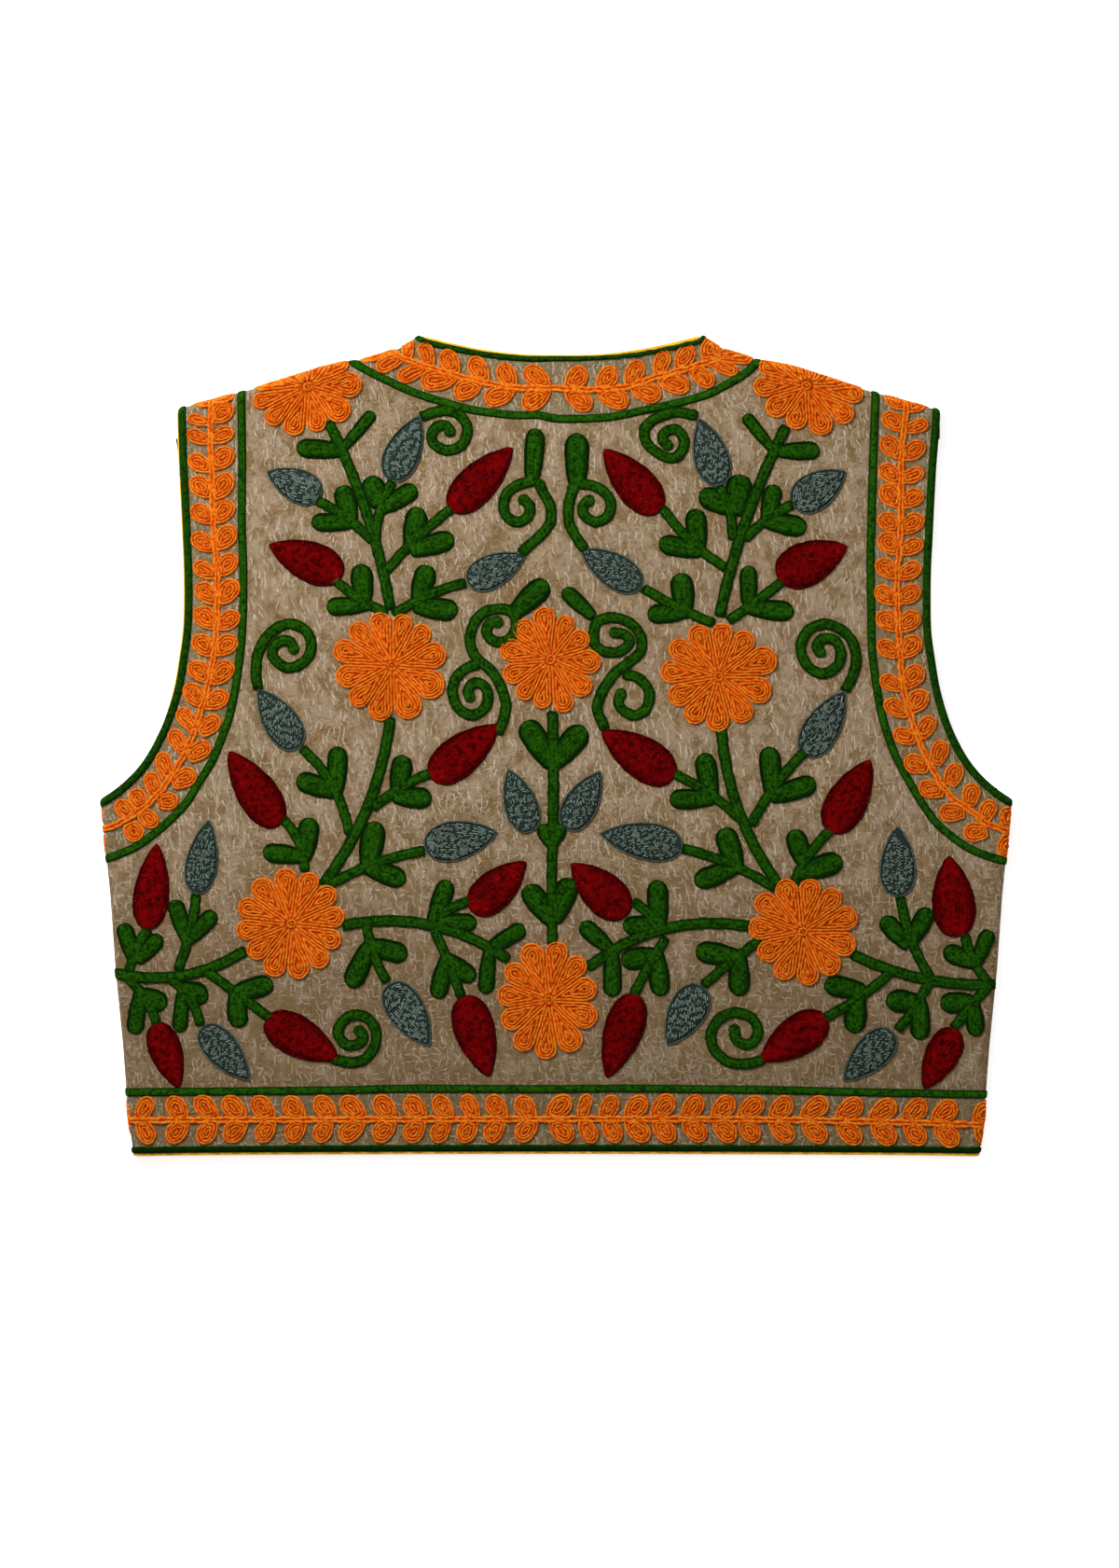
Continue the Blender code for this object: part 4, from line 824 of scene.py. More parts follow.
def blue_grey_bud(rows, base_x, base_y, tip_x, tip_y, width):
    spine = straight_axis(base_x, base_y, tip_x, tip_y)
    pad_under(rows, spine, width, bud_profile, 0.6)
    maze(rows, blade(spine, width, bud_profile), spine)


def leaf(rows, base_x, base_y, tip_x, tip_y, width):
    spine = straight_axis(base_x, base_y, tip_x, tip_y, 1.5, 0.3)
    width = width * LEAF_FULLER
    profile = leaf_profile(spine, width)
    pad_under(rows, spine, width, profile)
    fill(rows, blade(spine, width, profile), width / 2, spine, dome=0.0)


def petal(centre, angle, spread, reach):
    """Outline of a petal, from the middle of the flower out to a round end."""
    half = spread / 2
    away = reach / (1 + math.sin(half))
    round_end = away * math.sin(half)
    turn = np.linspace(-(math.pi / 2 + half), math.pi / 2 + half, 24)
    arc = np.stack([away + round_end * np.cos(turn), round_end * np.sin(turn)], 1)
    loop = np.vstack([[0.0, 0.0], arc])
    c, s = math.cos(angle), math.sin(angle)
    loop = loop @ np.array([[c, s], [-s, c]]) + centre
    return even(loop, 0.5, closed=True), round_end


def circle(count):
    """Points round a circle of radius 1."""
    turn = np.linspace(0, 2 * math.pi, count, endpoint=False)
    return np.stack([np.cos(turn), np.sin(turn)], 1)


def round_profile(u):
    """Half width of a disk along its diameter, as a share."""
    return np.sqrt(np.maximum(1 - (2 * u - 1) ** 2, 0))


def flower(rows, x, y, petals):
    """Petals given from the first round clockwise, and a small knot in the middle."""
    centre = np.array([x, y])
    across = np.array([centre - (FLOWER_MIDDLE, 0), centre + (FLOWER_MIDDLE, 0)])
    pad_under(rows, even(across, 1.0), 2 * FLOWER_MIDDLE, round_profile)
    for k, (turn, reach) in enumerate(petals):
        before = petals[k - 1][0] + (0 if k else 360)
        after = petals[(k + 1) % len(petals)][0] - (0 if k + 1 < len(petals) else 360)
        spread = math.radians((before - after) / 2) - PETAL_GAP
        angle = math.radians((before + 2 * turn + after) / 4)
        outline, half = petal(centre, angle, spread, reach)
        spine = np.array([math.cos(angle), math.sin(angle)]) * np.linspace(0, reach, 60)[:, None]
        away = reach - half
        pad_under(rows, centre + spine, 2.0, lambda u: np.where(
            u * reach < away, u * reach * math.tan(spread / 2),
            np.sqrt(np.clip(half ** 2 - (u * reach - away) ** 2, 0.01, None))), 0.5)
        fill(rows, outline, half, centre + spine, 0.15 + 0.2 * random.random())
    rows.add(centre + KNOT * circle(16), True, base=0.7)
    rows.add(centre + np.array([(-1.0, 0.6), (0.2, 0.2), (1.0, -0.5)]), base=0.8)


def cord(rows, path, width, **finish):
    """Rows side by side along a path, joined round its ends."""
    path = even(path, 1.2)
    rows.pad(path, np.full(len(path), width / 2 - 0.1))
    if rows.style is FELTED and width < ONE_ROW_CORD:
        rows.add(path, half=0.4 * width, rim=0.75, **finish)
        return
    count = 2 if width < TWO_ROW_CORD else 3
    half = width / 2 / count
    offset = half * (count - 1)
    right, left = shifted(path, -offset), shifted(path, offset)
    rows.add(np.vstack([right, left[::-1]]), True, half=half * 1.05, rim=0.75, **finish)
    if count > 2:
        rows.add(path, half=half * 1.2, **finish)


def stem(rows, x0, y0, x1, y1, bow):
    long = math.hypot(x1 - x0, y1 - y0) > LONG_STEM
    cord(rows, bowed(x0, y0, x1, y1, bow), LONG_STEM_WIDTH if long else STEM_WIDTH)


def scroll(rows, points):
    """A cord that curls to a round end at its last point."""
    cord(rows, smooth(points, 1.0), SCROLL_WIDTH)
    eye = np.array(points[-1], float)
    across = even(np.array([eye - (EYE, 0), eye + (EYE, 0)]), 0.6)
    pad_under(rows, across, 2 * EYE, round_profile, 0.1)
    for radius in (EYE - 0.9, EYE - 2.3):
        rows.add(eye + radius * circle(14), True, rim=0.6)


# ---- borders ----
def band_blade(rows, spine, width):
    """A border's leaf along its spine."""
    profile = leaf_profile(spine, width, BAND_LEAF_BASE)
    pad_under(rows, spine, width, profile, 0.5)
    fill(rows, blade(spine, width, profile), width / 2, spine, 0.05)


def band_leaf(rows, vine, axis, start, stop, outwards, reach):
    """A leaf on a vine.  It reaches from start to stop along the axis, leaning towards stop, and
    stands reach off the vine on the side that outwards points to."""
    spots = vine[np.argsort(vine[:, axis])]

    def point(where):
        return np.array([np.interp(where, spots[:, axis], spots[:, k]) for k in (0, 1)])

    way = point(stop) - point(start)
    side = np.array([-way[1], way[0]]) / np.linalg.norm(way)
    side *= np.sign(side @ outwards)
    sign = np.sign(stop - start)
    width = min(BAND_LEAF_WIDTH, BAND_LEAF_SHARE * abs(stop - start)) * random.uniform(0.97, 1.03)
    reach = reach + random.uniform(-0.4, 0.4)
    t = np.linspace(0, 1, 30)[:, None]
    foot, tip, far = start + 3 * sign, stop - 3 * sign, reach - 2
    # the axis is moved until the outline reaches as far each way as it should
    for _ in range(6):
        low, end = point(foot), point(tip) + side * far
        knee = low + side * far * 0.62 + (point(tip) - low) * 0.12
        spine = low * (1 - t) ** 2 + 2 * knee * t * (1 - t) + end * t ** 2
        outline = blade(spine, width, leaf_profile(spine, width, BAND_LEAF_BASE))
        along = outline[:, axis] * sign
        foot += 0.8 * (start - sign * along.min())
        tip += 0.8 * (stop - sign * along.max())
        far += reach - ((outline - low) @ side).max()
    band_blade(rows, spine, width)


def band(rows, curve, leaves, axis, inwards, reach, others=()):
    """A vine with a leaf on each side in turn, and leaves of their own place."""
    vine = smooth(curve, 2.0)
    inwards = np.array(inwards)
    for inner_from, inner_to, outer_from, outer_to in leaves:
        band_leaf(rows, vine, axis, outer_from, outer_to, -inwards, reach[0])
        if inner_from is not None:
            band_leaf(rows, vine, axis, inner_from, inner_to, inwards, reach[1])
    for *ends, width in others:
        band_blade(rows, straight_axis(*ends), width)
    cord(rows, vine, VINE_WIDTH, base=0.15)


def green_lines(rows):
    for line in (NECK_LINE, ARMHOLE_LINE_RIGHT, ARMHOLE_LINE_LEFT, HEM_LINE):
        cord(rows, smooth(line, 2.0), LINE_WIDTH)


# ---- edges of the cloth ----
def edge_curves(hand, insets=(0.0, 0.0, 0.0)):
    """Neck, armhole and hem of one half of the back, moved in from the garment's edge.  Both
    halves run clockwise, with the cloth on the right."""
    neck = smooth(NECK, EDGE_STEP) + np.array([hand * NECK_SHIFT, 0])
    armhole = smooth(ARMHOLE, EDGE_STEP)
    armhole[:, 0] += np.interp(armhole[:, 1], *np.array(ARMHOLE_LOOSE[hand]).T)
    end = side_bend(np.array(HEM_Y)) + HALF_TURN + SIDE_WRAP
    share = np.linspace(1, 0, round(end / EDGE_STEP))
    hem = np.stack([end * share, HEM_Y + HEM_RISE * share ** 2], 1)
    curves = [shifted(c, -d) for c, d in zip((neck, armhole, hem), insets)]
    return curves if hand > 0 else [(c * [-1, 1])[::-1] for c in curves]


def trimmed(path, reach_of=seam_reach, width=0.0):
    """A path stopped at the seams.  A strip width wide to its right stops with it."""
    other = shifted(path, -width)
    reach = np.minimum(reach_of(*path.T), reach_of(*other.T))
    out = []
    for k in range(len(path)):
        if reach[k] >= 0:
            out.append(path[k])
        if k + 1 < len(path) and (reach[k] >= 0) != (reach[k + 1] >= 0):
            t = reach[k] / (reach[k] - reach[k + 1])
            out.append(path[k] * (1 - t) + path[k + 1] * t)
    return np.array(out)


def edge_runs(insets=(0.0, 0.0, 0.0)):
    """The four bound edges of the back."""
    right, left = edge_curves(1, insets), edge_curves(-1, insets)
    return {"neck": np.vstack([left[0][:-1], right[0]]), "armhole_right": right[1],
            "armhole_left": left[1], "hem": np.vstack([right[2][:-1], left[2]])}


def back_outline(under_binding):
    """The back's cut, with its edge hidden under the bindings."""
    insets = [lining + under_binding for lining in (NECK_LINING, ARMHOLE_LINING, HEM_LINING)]
    neck, armhole, hem = (trimmed(c) for c in edge_curves(1, insets))
    left_neck, left_armhole, left_hem = (trimmed(c) for c in edge_curves(-1, insets))
    return np.vstack([neck, armhole, hem, left_hem[1:], left_armhole, left_neck[:-1]])


def contains(outline, points):
    """Which points lie inside a closed outline."""
    odd = np.zeros(len(points), bool)
    for a, b in zip(outline, np.roll(outline, -1, 0)):
        cross = (a[1] > points[:, 1]) != (b[1] > points[:, 1])
        if cross.any():
            x = a[0] + (b[0] - a[0]) * (points[:, 1] - a[1]) / (b[1] - a[1] + 1e-12)
            odd ^= cross & (points[:, 0] < x)
    return odd


def nearest(points, targets, block=4000):
    """Distance of each point from the nearest of the targets."""
    out = [np.sqrt(((points[k:k + block, None] - targets[None]) ** 2).sum(2).min(1))
           for k in range(0, len(points), block)]
    return np.concatenate(out)


def fold_lattice(step_round, step_along):
    """Points in even rows round the folds, so that the cloth bends smoothly there."""
    out = []
    past = np.arange(FOLD_FROM, FOLD_TO, step_round)
    for hand in (1, -1):
        # a little past both ends of the side folds and of the shoulder folds
        ys = np.arange(-224, 46, step_along)
        xs = np.arange(70, 216, step_along)
        for d in past:
            out.append(np.stack([hand * (side_bend(ys) + d), ys], 1))
            out.append(np.stack([hand * xs, shoulder_bend(hand * xs) + d], 1))
    return np.vstack(out)


def lattice(step, low, high):
    """Staggered rows of points over a rectangle, a little uneven."""
    xs, ys = np.arange(low[0], high[0], step), np.arange(low[1], high[1], step * 0.87)
    grid = np.stack(np.meshgrid(xs, ys), -1)
    grid[1::2, :, 0] += step / 2
    points = grid.reshape(-1, 2)
    return points + random.uniform(-0.12, 0.12, points.shape) * step


def cut_skin(outline, free):
    """Triangles over a cut, from its outline and the free points inside it."""
    free = free[contains(outline, free)]
    free = free[nearest(free, even(outline, 1.0, True)) > 0.8]
    points = np.vstack([outline, free])
    n = len(outline)
    edges = [(k, (k + 1) % n) for k in range(n)]
    found = geometry.delaunay_2d_cdt([Vector(p) for p in points], edges, [], 1, 0.01)
    points = np.array([tuple(p) for p in found[0]])
    faces = np.array([tuple(f) for f in found[2]])
    middle = points[faces].mean(1)
    faces = faces[contains(outline, middle)]
    a, b, c = (points[faces[:, k]] for k in range(3))
    turn = (b[:, 0] - a[:, 0]) * (c[:, 1] - a[:, 1]) - (b[:, 1] - a[:, 1]) * (c[:, 0] - a[:, 0])
    faces[turn < 0] = faces[turn < 0][:, ::-1]
    return points, faces[np.abs(turn) > 1e-6]


def panel(name, outline, outer_points, inner_points, outer, inner, puff=None, tones=(),
          outer_faces_up=True):
    """A cloth shell: a fine outer skin, a plain inner skin and the cut edge between them."""
    if area_of(outline) < 0:
        outline = outline[::-1]
    top, top_faces = cut_skin(outline, outer_points)
    low, low_faces = cut_skin(outline, inner_points)
    n = len(outline)
    raised = puff(top) if puff else np.zeros(len(top))
    points = np.vstack([outer(top[:, 0], top[:, 1], raised),
                        inner(low[:, 0], low[:, 1], np.zeros(len(low)))])
    around = np.arange(n)
    onward = (around + 1) % n
    rim = np.stack([around, around + len(top), onward + len(top), onward], 1)
    made = mesh_object(name, points, [top_faces, low_faces[:, ::-1] + len(top), rim],
                       attributes=[(label, tone(np.vstack([top, low]))) for label, tone in tones])
    if not outer_faces_up:
        made.data.flip_normals()
    return made


def area_of(outline):
    """The area inside an outline, positive if it runs anticlockwise."""
    after = np.roll(outline, -1, 0)
    return (outline[:, 0] * after[:, 1] - after[:, 0] * outline[:, 1]).sum() / 2


def edge_strip(rows, curve, section, place):
    """A closed strip along an edge.  The section lists (distance in from the edge, height)."""
    side = left_of(headings(curve))
    n, m = len(curve), len(section)
    distance = np.stack([np.broadcast_to(d, n) for d, h in section], 1)
    height = np.array([h for d, h in section])
    xy = curve[:, None] - side[:, None] * distance[:, :, None]
    world = place(xy[..., 0], xy[..., 1], np.broadcast_to(height, xy.shape[:2]))
    first = m * np.arange(n - 1)[:, None]
    k = np.arange(m)[None]
    j = (k + 1) % m
    quads = np.stack([first + k, first + j, first + m + j, first + m + k], 2)
    rows.gather(world, quads, np.zeros(n), np.full(m, STRIP_ACROSS), np.full(m, STRIP_RIM), 0.5)


# ---- materials ----
class Shader:
    """A node material, with short names for the nodes that it uses."""

    def __init__(self, name, roughness, sheen=0.0, sheen_tint=(1, 1, 1)):
        self.material = bpy.data.materials.new(name)
        self.material.use_nodes = True
        self.tree = self.material.node_tree
        self.surface = self.tree.nodes["Principled BSDF"]
        self.set_input("Roughness", roughness)
        self.set_input("Sheen Weight", sheen)
        self.set_input("Sheen Roughness", 0.5)
        self.set_input("Sheen Tint", (*sheen_tint, 1))
        self.set_input("Specular IOR Level", 0.02)
        where = self.tree.nodes.new("ShaderNodeTexCoord").outputs["Object"]
        self.mm = self.node("ShaderNodeVectorMath", {"operation": "SCALE"}, {0: where, "Scale": 1000.0})

    def put(self, value, socket):
        """A plain value, or another node's output, into an input."""
        if isinstance(value, bpy.types.NodeSocket):
            self.tree.links.new(value, socket)
        else:
            socket.default_value = value

    def set_input(self, label, value):
        self.put(value, self.surface.inputs[label])

    def node(self, kind, settings=None, inputs=None, output=0):
        made = self.tree.nodes.new(kind)
        for key, value in (settings or {}).items():
            setattr(made, key, value)
        for key, value in (inputs or {}).items():
            self.put(value, made.inputs[key])
        return made.outputs if output is None else made.outputs[output]

    def math(self, operation, a, b=0.0, clamp=False):
        return self.node("ShaderNodeMath", {"operation": operation, "use_clamp": clamp}, {0: a, 1: b})

    def plus(self, a, b):
        return self.math("ADD", a, b)

    def times(self, a, b):
        return self.math("MULTIPLY", a, b)

    def size(self, a):
        return self.math("ABSOLUTE", a)

    def higher(self, a, b):
        return self.math("MAXIMUM", a, b)

    def split(self, at):
        """The x, y and z of a place, as three sockets."""
        return self.node("ShaderNodeSeparateXYZ", {}, {0: at}, output=None)

    def ramp(self, value, low, high, start=0.0, end=1.0, kind="SMOOTHSTEP"):
        return self.node("ShaderNodeMapRange", {"interpolation_type": kind},
                         {"Value": value, "From Min": low, "From Max": high, "To Min": start, "To Max": end})

    def attribute(self, name):
        return self.node("ShaderNodeAttribute", {"attribute_name": name}, output=2)

    def stretched(self, x, y, z=1.0):
        """The place on the piece in millimetres, divided by a grain's length each way."""
        return self.node("ShaderNodeMapping", {}, {"Vector": self.mm, "Scale": (1 / x, 1 / y, 1 / z)})

    def moved(self, at, distance):
        """The same place as seen by another pattern, so that two patterns don't coincide."""
        return self.node("ShaderNodeVectorMath", {"operation": "ADD"}, {0: at, 1: (distance,) * 3})

    def noise(self, at, detail=2.0, rough=0.5):
        return self.node("ShaderNodeTexNoise", {}, {"Vector": at, "Scale": 1.0, "Detail": detail,
                                                    "Roughness": rough})

    def bent(self, bend, distance):
        """The place in millimetres, pushed about in the plane by a coloured noise."""
        return self.node("ShaderNodeVectorMath", {"operation": "MULTIPLY_ADD"},
                         {0: bend, 1: (distance, distance, 0.0), 2: self.mm})

    def strokes(self, at, cell, half_long, half_wide, lean, spread, share):
        """Short strokes, one for some of the cells of an uneven net, each leaning its own way."""
        net = self.node("ShaderNodeTexVoronoi", {"voronoi_dimensions": "2D"},
                        {"Vector": at, "Scale": 1.0 / cell}, output=None)
        off = self.node("ShaderNodeVectorMath", {"operation": "SUBTRACT"}, {0: at, 1: net["Position"]})
        turn_chance, share_chance, bow_chance = self.node("ShaderNodeSeparateColor", {}, {0: net["Color"]},
                                                          output=None)
        turn = self.ramp(turn_chance, 0.0, 1.0, lean - spread, lean + spread, "LINEAR")
        long, wide = self.split(self.node("ShaderNodeVectorRotate", {"rotation_type": "Z_AXIS"},
                                          {"Vector": off, "Angle": turn}))[:2]
        bow = self.times(self.times(long, long), self.ramp(bow_chance, 0.0, 1.0, -0.08, 0.08, "LINEAR"))
        out = self.size(self.plus(wide, bow))
        body = self.times(self.ramp(out, 0.3 * half_wide, 1.4 * half_wide, 1.0, 0.0),
                          self.ramp(self.size(long), 0.5 * half_long, half_long, 1.0, 0.0))
        return self.times(body, self.ramp(share_chance, share - 0.1, share + 0.1, 1.0, 0.0))

    def mix(self, share, a, b):
        """Colour a with a share of colour b.  A plain colour gets its alpha here."""
        a, b = (c if isinstance(c, bpy.types.NodeSocket) else (*c, 1.0) for c in (a, b))
        return self.node("ShaderNodeMix", {"data_type": "RGBA"}, {0: share, 6: a, 7: b}, output=2)

    def set_bump(self, height, distance, strength=1.0):
        self.set_input("Normal", self.node("ShaderNodeBump", {}, {"Height": height, "Distance": distance,
                                                                  "Strength": strength}))


def painted_stitch_shade(s, along, across, hole, gap, dots):
    """Painted shade: dark in the hole of each link and between the rows, there mostly beside the links'
    joints.
    """
    off_middle = s.math("SUBTRACT", s.math("FRACT", along), 0.5)
    off = s.math("DIVIDE", off_middle, HOLE_LONG)
    out = s.math("DIVIDE", across, HOLE_WIDE)
    spot = s.math("SQRT", s.plus(s.times(off, off), s.times(out, out)))
    hole_shade = s.ramp(spot, 0.5, 1.25, 1.0, 0.0)
    broken = s.ramp(s.size(off_middle), 0.20, 0.42, 1.0 - dots, 1.0)
    gap_shade = s.times(s.ramp(s.size(across), 0.50, 0.86), broken)
    return s.math("ADD", s.times(hole_shade, hole), s.times(gap_shade, gap), True)


def creases(s):
    """Fine creases in felt: level lines of one soft noise, in the places that another picks."""
    level = s.math("FRACT", s.times(s.noise(s.stretched(5, 5, 5), 1.0), 5.0))
    crease = s.ramp(s.size(s.math("SUBTRACT", level, 0.5)), 0.03, 0.12, 1.0, 0.0)
    return s.times(crease, s.ramp(s.noise(s.stretched(4, 4, 4), 1.0), 0.45, 0.55))


def thread_material(name, dark, body, light, *, gap, hole, fleck, mottle, deep, fuzz=0.5, edge=0.0,
                    crease_highlight=0.0, dots=0.0):
    """Wool chain stitch: painted shade between the rows, in each link and at the motif's edge, with fuzzy
    mottled strands, and fine creases where the felt has them, with a painted highlight along them.  Gap,
    hole and edge set how strong these painted shades are."""
    s = Shader(name, 0.9, 0.02, body)
    along, across, rim, tint = (s.attribute(label) for label in STITCH_ATTRIBUTES)
    grain = s.noise(s.stretched(0.45, 0.45, 0.45), 3.0, 0.6)
    blotch = s.noise(s.stretched(mottle, mottle, mottle), 2.0, 0.6)
    lit = s.ramp(s.plus(s.times(grain, fuzz), s.times(blotch, 1.0 - fuzz)), 0.40, 0.60)
    colour = s.mix(s.times(lit, fleck), body, light)
    colour = s.mix(s.ramp(blotch, 0.50, 0.34, 0.0, deep), colour, dark)
    colour = s.mix(s.ramp(tint, 0.0, 1.0, 0.0, 0.15, "LINEAR"), colour, dark)
    high = grain
    # painted shade towards the motif's rim
    if edge:
        rim_shade = s.ramp(s.plus(rim, s.times(blotch, 0.5)), 0.75, 1.2, 0.0, edge)
        colour = s.mix(rim_shade, colour, dark)
    # a painted highlight along the felt's creases, which also shape the bump
    if crease_highlight:
        crease = creases(s)
        colour = s.mix(s.times(crease, crease_highlight), colour, light)
        high = s.plus(grain, crease)
    s.set_input("Base Color", s.mix(painted_stitch_shade(s, along, across, hole, gap, dots), colour, dark))
    twist = s.math("SINE", s.times(s.plus(along, s.times(s.size(across), 0.35)), 25.0))
    s.set_bump(s.plus(s.times(twist, 0.3), high), 0.0004)
    return s.material


def slubs(s, bent, up):
    """Pale and brown strokes of uneven thread.  The pale level ones are fainter towards the neck."""
    drawn = {name: s.strokes(s.moved(bent, place), *sizes) for name, (place, *sizes) in SLUBS.items()}
    level = s.times(drawn["pale level"], s.ramp(up, 40.0, -150.0, 0.3, 1.0))
    pale = s.higher(drawn["pale upright"], s.higher(drawn["pale slanting"], level))
    return pale, s.higher(drawn["brown upright"], drawn["brown level"])


def woven_grain(s, bend):
    """Fine noise on an even weave."""
    crossing = [s.math("SINE", s.times(side, 2 * math.pi / WEAVE)) for side in s.split(s.bent(bend, 1.2))[:2]]
    return s.plus(s.noise(s.stretched(0.6, 0.6), 1.0, 0.7), s.times(s.times(*crossing), 0.16))


def cloth_material():
    """Slubbed weave: fine even grain on taupe with ochre patches, with pale and brown slubs on it.
    It has painted shade, in ochre, round the motifs, is browner towards the hem, and greener in the borders."""
    s = Shader("slubbed cloth", 0.95, 0.02, (0.6, 0.5, 0.4))
    bend = s.node("ShaderNodeTexNoise", {}, {"Vector": s.stretched(9, 9), "Scale": 1.0, "Detail": 1.0},
                  output=1)
    up = s.split(s.mm)[1]
    low = s.ramp(up, -10.0, -150.0)
    patch = s.ramp(s.plus(s.noise(s.stretched(9, 13), 4.0, 0.65), s.times(low, 0.06)), 0.44, 0.62)
    grain = woven_grain(s, bend)
    pale, brown = slubs(s, s.bent(bend, 4.5), up)
    border, near = s.attribute("border"), s.attribute("near")
    body = s.mix(s.times(border, 0.8), CLOTH_BODY, BORDER_BODY)
    ochre = s.mix(s.times(border, 0.8), CLOTH_OCHRE, BORDER_OCHRE)
    colour = s.mix(patch, body, ochre)
    # painted shade, in ochre, on the cloth beside the motifs
    colour = s.mix(s.times(near, 0.6), colour, ochre)
    colour = s.mix(s.times(brown, 0.45), colour, CLOTH_DARK)
    colour = s.mix(s.times(pale, 0.6), colour, CLOTH_PALE)
    colour = s.mix(s.ramp(grain, 0.28, 0.60, 0.6, 0.0), colour, CLOTH_DARK)
    colour = s.mix(s.ramp(grain, 0.56, 0.75, 0.0, 0.35), colour, CLOTH_PALE)
    s.set_input("Base Color", s.mix(s.times(low, 0.38), colour, CLOTH_DARK))
    slub_height = s.math("SUBTRACT", s.times(pale, 0.5), s.times(brown, 0.5))
    s.set_bump(s.plus(slub_height, s.times(grain, 0.6)), 0.00045)
    return s.material


def lining_material():
    s = Shader("yellow lining", 0.8, 0.2, (1.0, 0.9, 0.6))
    weave = s.noise(s.stretched(0.6, 0.6, 0.6))
    patch = s.noise(s.stretched(9, 9, 9))
    colour = s.mix(s.ramp(patch, 0.35, 0.65), (0.72, 0.38, 0.03), (0.6, 0.29, 0.015))
    s.set_input("Base Color", s.mix(s.ramp(weave, 0.3, 0.7, 0.0, 0.4), colour, (0.55, 0.25, 0.01)))
    s.set_bump(weave, 0.0003, 0.6)
    return s.material


def floor_material():
    """A white table that glows a little, so that things cast almost no shadow on it."""
    s = Shader("studio floor", 0.9)
    s.set_input("Base Color", (0.93, 0.93, 0.93, 1.0))
    s.set_input("Emission Color", (1.0, 1.0, 1.0, 1.0))
    s.set_input("Emission Strength", 0.55)
    return s.material


# ---- the back's embroidery ----
orange = thread_material("orange thread", (0.23, 0.013, 0.0005), (1.0, 0.12, 0.0015), (1.0, 0.4, 0.03),
                         mottle=2.0, fleck=0.8, deep=0.28, hole=0.6, gap=0.9, dots=0.85)
red = thread_material("red thread", (0.012, 0.0, 0.0), (0.07, 0.0, 0.0001), (0.21, 0.001, 0.002),
                      gap=0.45, hole=0.05, mottle=2.6, fleck=0.45, deep=0.7, edge=0.6, crease_highlight=0.85)
green = thread_material("green thread", (0.0008, 0.008, 0.0002), (0.0018, 0.021, 0.0003),
                        (0.021, 0.102, 0.002), gap=0.45, hole=0.15, fleck=0.8, mottle=1.7, fuzz=0.65,
                        deep=0.65, edge=0.9)
slate = thread_material("blue-grey thread", (0.013, 0.023, 0.018), (0.1, 0.145, 0.113),
                        (0.41, 0.5, 0.43), gap=1.0, hole=0.0, fleck=0.75, mottle=1.6, deep=0.3, edge=0.6)
cloth = cloth_material()
yellow = lining_material()

stitched = []          # places along the rows of its embroidery


def give(piece, made):
    """A finished piece, with its material."""
    piece.data.materials.append(made)
    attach(piece, "root")
    return piece


def embroider(name, material, slot, style, draw, *args):
    """One piece of the back's embroidery, from the function that draws its rows."""
    rows = Rows(style=style)
    draw(rows, *args)
    give(rows.build(name), material)
    stitched.append(rows.worked())


def draw_each(rows, table, kind):
    for row in table:
        kind(rows, *row)


def draw_stems(rows):
    draw_each(rows, STEMS, stem)
    for points in SCROLLS:
        scroll(rows, points)


embroider("flowers", orange, "orange_thread", CHAIN, draw_each, FLOWERS, flower)
embroider("buds_blue_grey", slate, "blue_grey_thread", MAZE, draw_each, BLUE_GREY_BUDS, blue_grey_bud)
embroider("buds_red", red, "red_thread", SMOOTH, draw_each, RED_BUDS, red_bud)
embroider("leaves", green, "green_thread", FELTED, draw_each, LEAVES, leaf)
embroider("stems_and_scrolls", green, "green_thread", FELTED, draw_stems)
embroider("border_lines", green, "green_thread", FELTED, green_lines)
for name, *layout in (
    ("hem_vine", HEM_VINE, HEM_LEAVES, 0, (0, 1), HEM_REACH),
    ("neck_vine", NECK_VINE, NECK_LEAVES, 0, (0, -1), NECK_REACH, NECK_END),
    ("armhole_vine_right", ARMHOLE_VINE_RIGHT, ARMHOLE_LEAVES_RIGHT, 1, (-1, 0), ARMHOLE_REACH,
     ARMHOLE_TURN_RIGHT),
    ("armhole_vine_left", ARMHOLE_VINE_LEFT, ARMHOLE_LEAVES_LEFT, 1, (1, 0), ARMHOLE_REACH,
     ARMHOLE_TURN_LEFT),
):
    embroider(name, orange, "orange_thread", CHAIN, band, *layout)


# ---- the back's lining and bindings ----
def seen_widths(label, x, y):
    """How wide the lining and the binding show along an edge."""
    if label == "neck":
        return (np.interp(x, (-70, -40, 0, 20, 45, 75), (1.3, 1.1, 0.8, 0.9, 1.7, 2.1)),
                np.interp(x, (-75, 0, 20, 45, 60), (3.5, 3.4, 2.6, 2.2, 2.0)))
    if label == "armhole_left":
        return np.interp(y, (5, 30), (0.0, 0.7)), np.full(len(x), ARMHOLE_BINDING)
    if label == "armhole_right":
        return np.interp(y, (40, 60, 90, 110), (0.0, 0.3, 0.3, 0.0)), np.full(len(x), ARMHOLE_BINDING)
    return np.full(len(x), HEM_LINING), np.full(len(x), HEM_BINDING)


def lining_edge(label, curve, wide):
    """The lining's edge, higher at the hem, where it would lie in the binding's shade."""
    lift = HEM_LINING_HIGH if label == "hem" else LINING_HIGH
    strip = Rows()
    edge_strip(strip, curve, ((0.2, -1.0), (0, -0.4), (0.1, lift - 0.3), (0.5, lift), (wide + 0.6, lift),
                              (wide + 0.6, -1.0)), on_edge)
    return give(strip.build("lining_edge_soft_" + label), yellow)


